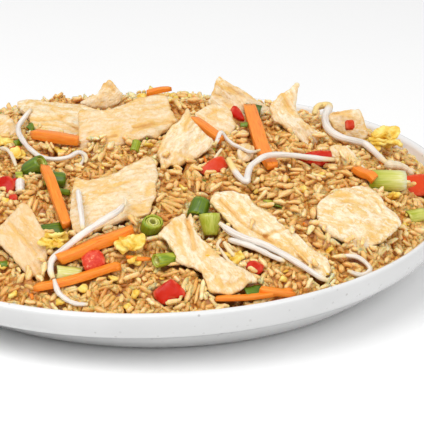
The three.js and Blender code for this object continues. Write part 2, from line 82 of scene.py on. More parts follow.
def back_drop(x, y):
    """How much lower than the dome the rice lies behind the chicken at the back."""
    return np.interp(x, BACK_X, BACK_DEPTH) * smoothstep(32, 64, y)


def unevenness(x, y):
    broad = np.sin(x / 11 + 1.3) * np.cos(y / 13 - 0.7)
    fine = np.sin((x + y) / 8 + 0.4) * np.cos((x - y) / 9.5)
    return broad + 0.7 * fine - 0.9


# ------------------------------------------------------------------ noise and curves
class Noise:
    """Smooth gradient noise in three dimensions, about -1 to 1."""

    def __init__(self, seed):
        own = np.random.default_rng(seed)
        self.table = own.permutation(256)
        grad = own.normal(size=(256, 3))
        self.grad = grad / np.linalg.norm(grad, axis=1)[:, None]

    def __call__(self, p):
        p = np.asarray(p, float).reshape(-1, 3)
        cell = np.floor(p).astype(int)
        f = p - cell
        fade = f * f * f * (f * (f * 6 - 15) + 10)
        total = np.zeros(len(p))
        for corner in np.ndindex(2, 2, 2):
            c = (cell + corner) & 255
            key = self.table[(self.table[(self.table[c[:, 0]] + c[:, 1]) & 255] + c[:, 2]) & 255]
            weight = np.prod(np.where(corner, fade, 1 - fade), axis=1)
            total += weight * (self.grad[key] * (f - corner)).sum(1)
        return total * 1.6

    def layered(self, p, octaves):
        p = np.asarray(p, float)
        total = np.zeros(len(p))
        for k in range(octaves):
            total += self(p * 2**k + 17.3 * k) / 2**k
        return total / 1.5


noise = Noise(7)


def smoothstep(low, high, value):
    t = np.clip((value - low) / (high - low), 0, 1)
    return t * t * (3 - 2 * t)


def spline(p):
    """Close points on a centripetal Catmull-Rom curve from the second of the given points to the last but one."""
    dense = []
    for i in range(1, len(p) - 2):
        a, b, c, d = p[i - 1 : i + 3]
        t0 = 0.0
        t1 = t0 + max(np.linalg.norm(b - a), 1e-6) ** 0.5
        t2 = t1 + max(np.linalg.norm(c - b), 1e-6) ** 0.5
        t3 = t2 + max(np.linalg.norm(d - c), 1e-6) ** 0.5
        t = np.linspace(t1, t2, 24, endpoint=i == len(p) - 3)[:, None]
        ab = (t1 - t) / (t1 - t0) * a + (t - t0) / (t1 - t0) * b
        bc = (t2 - t) / (t2 - t1) * b + (t - t1) / (t2 - t1) * c
        cd = (t3 - t) / (t3 - t2) * c + (t - t2) / (t3 - t2) * d
        abc = (t2 - t) / (t2 - t0) * ab + (t - t0) / (t2 - t0) * bc
        bcd = (t3 - t) / (t3 - t1) * bc + (t - t1) / (t3 - t1) * cd
        dense.append((t2 - t) / (t2 - t1) * abc + (t - t1) / (t2 - t1) * bcd)
    return np.vstack(dense)


def curve_through(points, count):
    """Evenly spaced points on a smooth curve through the given ones."""
    p = np.asarray(points, float)
    return resample(spline(np.vstack([2 * p[0] - p[1], p, 2 * p[-1] - p[-2]])), count)


def path_length(line):
    return np.linalg.norm(np.diff(line, axis=0), axis=1).sum()


def even_loop(line, spacing, fewest):
    """Evenly spaced points round a closed line, at least `fewest` of them, counter-clockwise."""
    loop = resample(line, max(fewest, round(path_length(line) / spacing)) + 1)[:-1]
    x, y = loop.T
    area = np.sum(x * np.roll(y, -1) - y * np.roll(x, -1))
    return loop if area > 0 else loop[::-1]


def closed_curve(points, spacing):
    """Points round a smooth closed curve through the given ones."""
    p = np.asarray(points, float)
    return even_loop(spline(np.vstack([p[-1:], p, p[:2]])), spacing, 8)


def straight_loop(corners, spacing):
    """Points round a shape with straight sides, its corners a little rounded."""
    p = np.asarray(corners, float)
    near = [0.86 * p + 0.14 * np.roll(p, way, axis=0) for way in (1, -1)]
    line = np.concatenate(near, axis=1).reshape(-1, 2)
    return even_loop(np.vstack([line, line[:1]]), spacing, 10)


def outward_of(loop):
    """Unit vectors that point out of a counter-clockwise loop."""
    tangent = np.roll(loop, -1, axis=0) - np.roll(loop, 1, axis=0)
    outward = np.stack([tangent[:, 1], -tangent[:, 0]], axis=1)
    return outward / np.maximum(np.linalg.norm(outward, axis=1), 1e-6)[:, None]


def spots(x, y, level):
    """Places in the noise, from flat coordinates and a level."""
    return np.column_stack(np.broadcast_arrays(x, y, level))


def resample(line, count):
    """Evenly spaced points along a line."""
    steps = np.linalg.norm(np.diff(line, axis=0), axis=1)
    along = np.concatenate([[0], np.cumsum(steps)])
    at = np.linspace(0, along[-1], count)
    return np.stack([np.interp(at, along, line[:, k]) for k in range(line.shape[1])], axis=1)


def line_distance(points, line):
    """How far each point is from a line of straight parts."""
    best = np.full(len(points), np.inf)
    for a, b in zip(line[:-1], line[1:]):
        way = b - a
        t = np.clip((points - a) @ way / (way @ way), 0, 1)
        best = np.minimum(best, np.linalg.norm(points - a - t[:, None] * way, axis=1))
    return best


def inside_loop(points, loop):
    """Which points lie inside a closed line."""
    x, y = points.T
    (ax, ay), (bx, by) = loop.T[:, :, None], np.roll(loop, -1, axis=0).T[:, :, None]
    rise = np.where(by == ay, 1e-9, by - ay)
    crosses = ((ay > y) != (by > y)) & (x < ax + (y - ay) / rise * (bx - ax))
    return crosses.sum(0) % 2 == 1


# ------------------------------------------------------------------ meshes
def make_piece(name, slot, verts, faces, attributes, *nodes):
    """
    A piece that is part of the dish, with its slot's material, in place of the given solids. Points are in
    millimetres, and faces are a list or a tuple of arrays of like faces.
    """
    mesh = bpy.data.meshes.new(name)
    verts = (np.asarray(verts, float) * MM).reshape(-1, 3)
    if isinstance(faces, tuple):
        sizes = np.concatenate([np.full(len(part), part.shape[1]) for part in faces])
        corners = np.concatenate([part.ravel() for part in faces])
    else:
        sizes = np.array([len(f) for f in faces])
        corners = np.concatenate([np.asarray(f, int) for f in faces])
    mesh.vertices.add(len(verts))
    mesh.vertices.foreach_set("co", verts.astype(np.float32).ravel())
    mesh.loops.add(len(corners))
    mesh.loops.foreach_set("vertex_index", corners.astype(np.int32))
    mesh.polygons.add(len(sizes))
    mesh.polygons.foreach_set("loop_start", (np.cumsum(sizes) - sizes).astype(np.int32))
    mesh.polygons.foreach_set("use_smooth", np.full(len(sizes), True))
    mesh.update(calc_edges=True)
    for key, values in attributes.items():
        values = np.asarray(values, np.float32)
        kind, field = ("FLOAT", "value") if values.ndim == 1 else ("FLOAT_VECTOR", "vector")
        mesh.attributes.new(key, kind, "POINT").data.foreach_set(field, values.ravel())
    mesh.materials.append(LOOKS[slot])
    obj = bpy.data.objects.new(name, mesh)
    bpy.context.scene.collection.objects.link(obj)
    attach(obj, "root")
    if nodes:
        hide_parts(*nodes)
    return obj


class Parts:
    """Gathers many small shapes into one piece."""

    def __init__(self):
        self.verts, self.faces, self.attributes, self.count = [], [], {}, 0

    def add(self, verts, faces, attributes=None):
        self.verts.append(verts)
        self.faces += [[i + self.count for i in f] for f in faces]
        for key, values in (attributes or {}).items():
            self.attributes.setdefault(key, []).append(values)
        self.count += len(verts)

    def build(self, name, slot, *nodes):
        attributes = {key: np.concatenate(v) for key, v in self.attributes.items()}
        return make_piece(name, slot, np.vstack(self.verts), self.faces, attributes, *nodes)


def ring_faces(rings, count, closed_ends=True):
    """Faces of a stack of rings of `count` points, with a centre point for each end after them."""
    faces = []
    for r in range(rings - 1):
        for i in range(count):
            j = (i + 1) % count
            faces.append([r * count + i, r * count + j, (r + 1) * count + j, (r + 1) * count + i])
    if closed_ends:
        start, end = rings * count, rings * count + 1
        last = (rings - 1) * count
        for i in range(count):
            j = (i + 1) % count
            faces.append([start, j, i])
            faces.append([end, last + i, last + j])
    return faces


def mesh_arrays(mesh):
    """Points in millimetres and faces of a mesh."""
    co = np.zeros(len(mesh.vertices) * 3, np.float32)
    mesh.vertices.foreach_get("co", co)
    return co.reshape(-1, 3).astype(float) / MM, [list(p.vertices) for p in mesh.polygons]


def tree_of(verts, faces):
    return BVHTree.FromPolygons([Vector(v) for v in verts], faces)


def cad_tree(name):
    return tree_of(*mesh_arrays(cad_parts[name].data))


def filled(points, count):
    """Triangles that fill the loop of the first `count` points and use all the others inside it."""
    made = delaunay_2d_cdt([Vector(v) for v in points], [], [list(range(count))], 1, 1e-6)
    source = [ids[0] if ids else -1 for ids in made[3]]
    return [[source[i] for i in f] for f in made[2] if all(source[i] >= 0 for i in f)]


def slab_shape(loop, spacing, top_at, levels, shift):
    """
    A flat-lying shape with a crisp outline: an evenly meshed top, sides and a plain underside.
    `top_at` gives the top's height from points and their distance to the edge, and `levels` the sides
    as [height below the edge, outward, roughness]. Returns points and faces, and for each point how
    far down it is and how far from the edge.
    """
    n = len(loop)
    low, high = loop.min(0), loop.max(0)
    rows = np.arange(low[1], high[1], spacing * 0.87)
    grid = [
        np.stack([x := np.arange(low[0] + (k % 2) * spacing / 2, high[0], spacing), np.full(len(x), y)], axis=1)
        for k, y in enumerate(rows)
    ]
    inner = np.vstack([*grid, loop.mean(0)[None]])
    at = spots(*inner.T, shift) * 1.7
    inner = inner + 0.2 * spacing * np.stack([noise(at), noise(at + 40)], axis=1)
    to_edge = np.min(np.linalg.norm(inner[:, None] - loop[None], axis=2), axis=1)
    keep = inside_loop(inner, loop) & (to_edge > 0.7 * spacing)
    flat = np.vstack([loop, inner[keep]])
    edge_distance = np.concatenate([np.zeros(n), to_edge[keep]])
    heights = top_at(flat, edge_distance)
    rings = [np.column_stack([flat, heights])]
    down = [np.zeros(len(flat))]
    outward = outward_of(loop)
    apart = np.linalg.norm(loop[:, None] - loop[None], axis=2)
    apart[outward @ outward.T > -0.2] = 99.0
    room = 0.4 * apart.min(1)
    for depth, out, rough in levels:
        push = np.maximum(out + rough * noise(spots(*loop.T / 2.2, shift + depth / 1.3)), -room)
        rings.append(np.column_stack([loop + outward * push[:, None], heights[:n] - depth]))
        down.append(np.full(n, depth))
    starts = [0] + [len(flat) + k * n for k in range(len(levels))]
    faces = filled(flat, n)
    for upper, lower in zip(starts[:-1], starts[1:]):
        for i in range(n):
            j = (i + 1) % n
            faces.append([upper + i, lower + i, lower + j, upper + j])
    faces += [[starts[-1] + i for i in f[::-1]] for f in filled(loop, n)]
    return np.vstack(rings), faces, np.concatenate(down), np.concatenate([edge_distance, np.zeros(n * len(levels))])


# ------------------------------------------------------------------ materials
class Shader:
    """A Principled material and short ways to add the nodes that feed it."""

    def __init__(self, name, **plain):
        self.material = bpy.data.materials.new(name)
        self.material.use_nodes = True
        self.tree = self.material.node_tree
        self.bsdf = self.tree.nodes["Principled BSDF"]
        for key, value in plain.items():
            self.bsdf.inputs[key.replace("_", " ")].default_value = value

    def node(self, kind, inputs=None, **settings):
        made = self.tree.nodes.new(f"ShaderNode{kind}")
        for key, value in settings.items():
            setattr(made, key, value)
        for key, value in (inputs or {}).items():
            self.put(made.inputs[key], value)
        return made

    def put(self, socket, value):
        if isinstance(value, bpy.types.NodeSocket):
            self.tree.links.new(value, socket)
        else:
            socket.default_value = value

    def attribute(self, name, output="Fac"):
        return self.node("Attribute", attribute_name=name).outputs[output]

    def object_coords(self):
        return self.node("TexCoord").outputs["Object"]

    def noise(self, vector, scale, detail=3.0, roughness=0.55, distortion=0.0):
        inputs = {"Vector": vector, "Scale": scale, "Detail": detail, "Roughness": roughness, "Distortion": distortion}
        return self.node("TexNoise", inputs).outputs["Fac"]

    def fibres(self, stretch, *settings):
        """Noise drawn out along the piece's own fibres."""
        mapping = self.node("Mapping", {"Vector": self.attribute("fibre", "Vector"), "Scale": stretch})
        return self.noise(mapping.outputs["Vector"], 1.0, *settings)

    def ramp(self, value, *stops):
        made = self.node("ValToRGB", {"Fac": value})
        elements = made.color_ramp.elements
        while len(elements) < len(stops):
            elements.new(0.5)
        for element, (at, colour) in zip(elements, stops):
            element.position = at
            element.color = (*colour, 1)
        return made.outputs["Color"]

    def mix(self, factor, a, b):
        made = self.node("Mix", data_type="RGBA")
        self.put(made.inputs[0], factor)
        for socket, value in ((made.inputs[6], a), (made.inputs[7], b)):
            self.put(socket, value if isinstance(value, bpy.types.NodeSocket) else (*value, 1))
        return made.outputs[2]

    def range(self, value, a, b, c=0.0, d=1.0):
        inputs = {"Value": value, "From Min": a, "From Max": b, "To Min": c, "To Max": d}
        return self.node("MapRange", inputs).outputs["Result"]

    def math(self, operation, a, b=0.5):
        made = self.node("Math", operation=operation)
        self.put(made.inputs[0], a)
        self.put(made.inputs[1], b)
        return made.outputs[0]

    def bump(self, height, distance, strength=1.0):
        inputs = {"Height": height, "Distance": distance * MM, "Strength": strength}
        self.put(self.bsdf.inputs["Normal"], self.node("Bump", inputs).outputs["Normal"])

    def glossy(self, colour, value, low, high):
        """Sets the colour, and a roughness between two limits that follows a noise."""
        self.set(Base_Color=colour, Roughness=self.range(value, 0.3, 0.7, low, high))

    def set(self, **values):
        for key, value in values.items():
            self.put(self.bsdf.inputs[key.replace("_", " ")], value)


def srgb(r, g, b):
    """A colour given as it looks on a screen, 0 to 255, as the linear values that a shader takes."""
    out = []
    for c in (r, g, b):
        c /= 255
        out.append(c / 12.92 if c <= 0.04045 else ((c + 0.055) / 1.055) ** 2.4)
    return tuple(out)


def plate_material():
    """White glaze with sparse grey specks, a darker grey on the outside as painted shade."""
    s = Shader("plate_glaze", Roughness=0.22, Coat_Weight=0.35, Coat_Roughness=0.08)
    at = s.object_coords()
    cloud = s.noise(at, 30, 3)
    # painted shade: the outside of the dish gets a darker grey than the inside, though the glaze is the same white
    base = s.ramp(cloud, (0.3, (0.63, 0.63, 0.627)), (0.7, (0.68, 0.68, 0.677)))
    base = s.mix(s.attribute("inside"), base, (0.86, 0.86, 0.855))
    cells = s.node("TexVoronoi", {"Vector": at, "Scale": 330, "Randomness": 1.0})
    dot = s.range(cells.outputs["Distance"], 0.13, 0.24, 1.0, 0.0)
    chosen = s.range(cells.outputs["Color"], 0.54, 0.64)
    faint = s.range(s.noise(at, 90, 2), 0.4, 0.62)
    speck = s.math("MULTIPLY", s.math("MULTIPLY", dot, chosen), faint)
    s.set(Base_Color=s.mix(s.math("MULTIPLY", speck, 0.75), base, (0.36, 0.34, 0.33)))
    s.bump(s.noise(at, 60, 2), 0.12, 0.25)
    return s.material


def rice_material():
    """Cooked grains, from browned to pale by their `tone_and_shade`, which also carries painted shade in the pits and
    between grains and a painted highlight on the grains' tops.
    """
    s = Shader(
        "rice_grain", IOR=1.42, Specular_IOR_Level=0.55, Coat_Weight=0.2, Coat_Roughness=0.3,
        Subsurface_Weight=0.7, Subsurface_Scale=MM, Subsurface_Radius=(2.0, 1.1, 0.5),
    )
    at = s.object_coords()
    mottle = s.noise(at, 420, 3)
    shade = s.math("ADD", s.attribute("tone_and_shade"), s.range(mottle, 0.3, 0.7, -0.10, 0.10))
    colour = s.ramp(
        shade,
        (0.0, srgb(156, 84, 24)),
        (0.25, srgb(208, 140, 60)),
        (0.55, srgb(232, 180, 102)),
        (0.85, srgb(244, 206, 142)),
        (1.0, srgb(250, 228, 180)),
    )
    s.glossy(colour, mottle, 0.30, 0.48)
    s.bump(s.noise(at, 900, 3), 0.12, 0.5)
    return s.material


def chicken_material():
    """Pale cooked meat with fibres, and sauce where `stain` is high; it also carries painted shade in the creases and
    down the sides.
    """
    s = Shader(
        "chicken_meat", Roughness=0.42, Subsurface_Weight=0.15, Subsurface_Scale=2 * MM,
        Subsurface_Radius=(1.0, 0.6, 0.35),
    )
    streak = s.fibres((0.08, 0.42, 0.3), 3, 0.55, 0.6)
    patch = s.fibres((0.07, 0.12, 0.12), 5, 0.62, 0.5)
    fine = s.fibres((0.5, 0.85, 0.8), 4, 0.65)
    fleck_and_glint = s.fibres((0.28, 0.5, 0.5), 5, 0.7, 0.5)
    # fine lines where the meat parts, in some places only
    course = s.fibres((0.05, 0.22, 0.2), 2, 0.5, 0.8)
    crease = s.range(s.math("ABSOLUTE", s.math("SUBTRACT", course, 0.5)), 0.0, 0.022, 1.0, 0.0)
    crease = s.math("MULTIPLY", crease, s.range(s.fibres((0.09, 0.2, 0.2), 2), 0.52, 0.66))
    pale = s.mix(s.range(patch, 0.38, 0.58), srgb(238, 198, 120), srgb(246, 225, 184))
    pale = s.mix(s.range(fine, 0.46, 0.62, 0.0, 0.5), pale, srgb(224, 174, 102))
    # near-white flecks along the fibres: partly paler meat, partly painted glints
    pale = s.mix(s.range(fleck_and_glint, 0.47, 0.59, 0.0, 0.8), pale, srgb(253, 243, 219))
    pale = s.mix(s.attribute("tint"), pale, srgb(230, 188, 130))
    amber = s.math("ADD", s.attribute("stain"), s.range(streak, 0.3, 0.7, -0.16, 0.16))
    amber = s.math("ADD", amber, s.range(patch, 0.3, 0.7, 0.25, -0.25))
    colour = s.mix(s.range(amber, 0.30, 0.85, 0.0, 0.75), pale, srgb(238, 190, 100))
    colour = s.mix(s.range(amber, 0.90, 1.35), colour, srgb(202, 132, 50))
    colour = s.mix(s.math("MULTIPLY", crease, 0.4), colour, srgb(216, 146, 62))
    s.glossy(colour, fine, 0.28, 0.46)
    s.bump(s.math("ADD", fine, s.math("ADD", streak, fleck_and_glint)), 0.6, 0.8)
    return s.material


def carrot_material():
    """Orange, in faint lines along the strip."""
    s = Shader("carrot_flesh", Subsurface_Weight=0.12, Subsurface_Scale=1.5 * MM, Subsurface_Radius=(1.0, 0.4, 0.15))
    grain = s.fibres((0.12, 1.3, 1.3), 3)
    colour = s.ramp(grain, (0.25, srgb(238, 116, 20)), (0.5, srgb(248, 142, 38)), (0.8, srgb(253, 164, 62)))
    s.glossy(colour, grain, 0.25, 0.42)
    s.bump(s.fibres((0.3, 2.4, 2.4), 2), 0.2, 0.5)
    return s.material


def sprout_material():
    """White and a little see-through, yellow at the `ends`."""
    s = Shader(
        "sprout_stem", IOR=1.4, Subsurface_Weight=0.35, Subsurface_Scale=2 * MM,
        Subsurface_Radius=(1.0, 0.85, 0.7),
    )
    vein = s.fibres((0.1, 1.6, 1.6), 3)
    colour = s.ramp(vein, (0.3, srgb(214, 200, 188)), (0.5, srgb(234, 226, 216)), (0.7, srgb(243, 238, 230)))
    colour = s.mix(s.attribute("ends"), colour, srgb(244, 214, 140))
    s.glossy(colour, vein, 0.24, 0.42)
    s.bump(vein, 0.45, 0.8)
    return s.material


def pepper_material():
    """Red skin over paler flesh."""
    s = Shader("pepper_flesh", Coat_Weight=0.02, Coat_Roughness=0.15, Specular_IOR_Level=0.18)
    at = s.object_coords()
    cloud = s.noise(at, 160, 3)
    red = s.ramp(cloud, (0.3, srgb(180, 12, 0)), (0.7, srgb(202, 28, 4)))
    red = s.mix(s.attribute("tint"), red, srgb(232, 84, 34))
    flesh = s.ramp(
        s.noise(at, 700, 3), (0.35, srgb(206, 44, 20)), (0.6, srgb(222, 76, 44)), (0.72, srgb(246, 180, 140))
    )
    edge = s.math("MULTIPLY", s.attribute("edge"), s.range(s.noise(at, 340, 2), 0.42, 0.62, 0.0, 0.55))
    colour = s.mix(edge, s.mix(s.attribute("skin"), flesh, red), srgb(240, 130, 90))
    s.glossy(colour, cloud, 0.22, 0.36)
    s.bump(s.noise(at, 500, 2), 0.25, 0.35)
    return s.material


def onion_material():
    """White to dark green by `green`, in lines along the leaf."""
    s = Shader("spring_onion_leaf", Coat_Weight=0.12, Coat_Roughness=0.2)
    line = s.fibres((0.08, 1.7, 1.7), 3)
    shade = s.math("ADD", s.attribute("green"), s.range(line, 0.3, 0.7, -0.14, 0.14))
    colour = s.ramp(
        shade,
        (0.0, srgb(236, 232, 196)),
        (0.22, srgb(212, 209, 112)),
        (0.48, srgb(168, 176, 40)),
        (0.72, srgb(116, 142, 18)),
        (1.0, srgb(62, 94, 8)),
    )
    s.glossy(colour, line, 0.22, 0.4)
    s.bump(line, 0.3, 0.5)
    return s.material


def egg_material():
    """Yellow curds in two tones."""
    s = Shader("egg_curd", Subsurface_Weight=0.12, Subsurface_Scale=1.5 * MM, Subsurface_Radius=(1.0, 0.7, 0.2))
    at = s.object_coords()
    cloud = s.noise(at, 260, 4)
    colour = s.ramp(cloud, (0.3, srgb(220, 158, 34)), (0.44, srgb(240, 196, 66)), (0.62, srgb(250, 228, 134)))
    s.glossy(colour, cloud, 0.36, 0.55)
    s.bump(s.noise(at, 900, 3), 0.4, 0.6)
    return s.material


LOOKS = {
    "plate": plate_material(),
    "rice": rice_material(),
    "chicken": chicken_material(),
    "carrot": carrot_material(),
    "sprout": sprout_material(),
    "pepper": pepper_material(),
    "spring_onion": onion_material(),
    "egg": egg_material(),
}

# ------------------------------------------------------------------ plate
PLATE_SEGMENTS = 180
LIP_CURVE = 1.95
INSIDE_RINGS = (22, 31)  # where the outside's darker glaze colour, which is painted shade, turns into the whiter inside


def plate_profile():
    """[radius, height] from the middle of the underside, round the lip, to the middle of the floor."""
    low = [
        (0, 3), (60, 3), (98.6, 3), (99.8, 2.7), (100.6, 1.6), (101.2, 0.5), (102.2, 0.05), (104, 0),
        (110, 0), (112, 0.05), (113.8, 0.4), (115.6, 1.3), (118, 3.0), (124, 7.3), (130, 11.5), (134.6, 14.7),
        (136.6, 15.9), (138.2, 16.7), (139.3, 17.5), (140.1, 18.6), (140.9, 20.0), (141.5, 21.6), (142.0, 24.0),
    ]
    lip = [
        (LIP_RADIUS + LIP_CURVE * math.cos(a), RIM_HEIGHT - 2 + LIP_CURVE * math.sin(a))
        for a in np.linspace(0, math.pi, 13)
    ]
    inside = [
        (137.6, 25.0), (136.4, 22.0), (134.4, 19.0), (131.5, 16.2), (127.2, 13.2), (122, 11), (115, 9.2),
        (107, 8.1), (80, 7.6), (40, 7.3), (0, 7.2),
    ]
    return low + lip + inside


def make_plate():
    profile = np.array(plate_profile(), float)
    angles = np.linspace(0, 2 * math.pi, PLATE_SEGMENTS, endpoint=False)
    rings = []
    for radius, z in profile[1:-1]:
        wobble = 0.12 * np.sin(3 * angles + 0.8) + 0.08 * np.sin(7 * angles)
        r = radius + (wobble - 0.2) * min(max((radius - 120) / 20, 0), 1)
        x, y = r * np.cos(angles), r * np.sin(angles)
        rings.append(np.stack([x, y, z + rim_lift(x, y)], axis=1))
    verts = np.vstack([*rings, [[0, 0, profile[0][1]]], [[0, 0, profile[-1][1]]]])
    faces = ring_faces(len(rings), PLATE_SEGMENTS)
    # 1 on the whiter inside, 0 on the outside, whose darker colour is painted shade
    inside = np.repeat(smoothstep(*INSIDE_RINGS, np.arange(1, len(profile) - 1)), PLATE_SEGMENTS)
    inside = np.concatenate([inside, [0, 1]])
    make_piece("plate_glazed", "plate", verts, faces, {"inside": inside}, "plate")


make_plate()

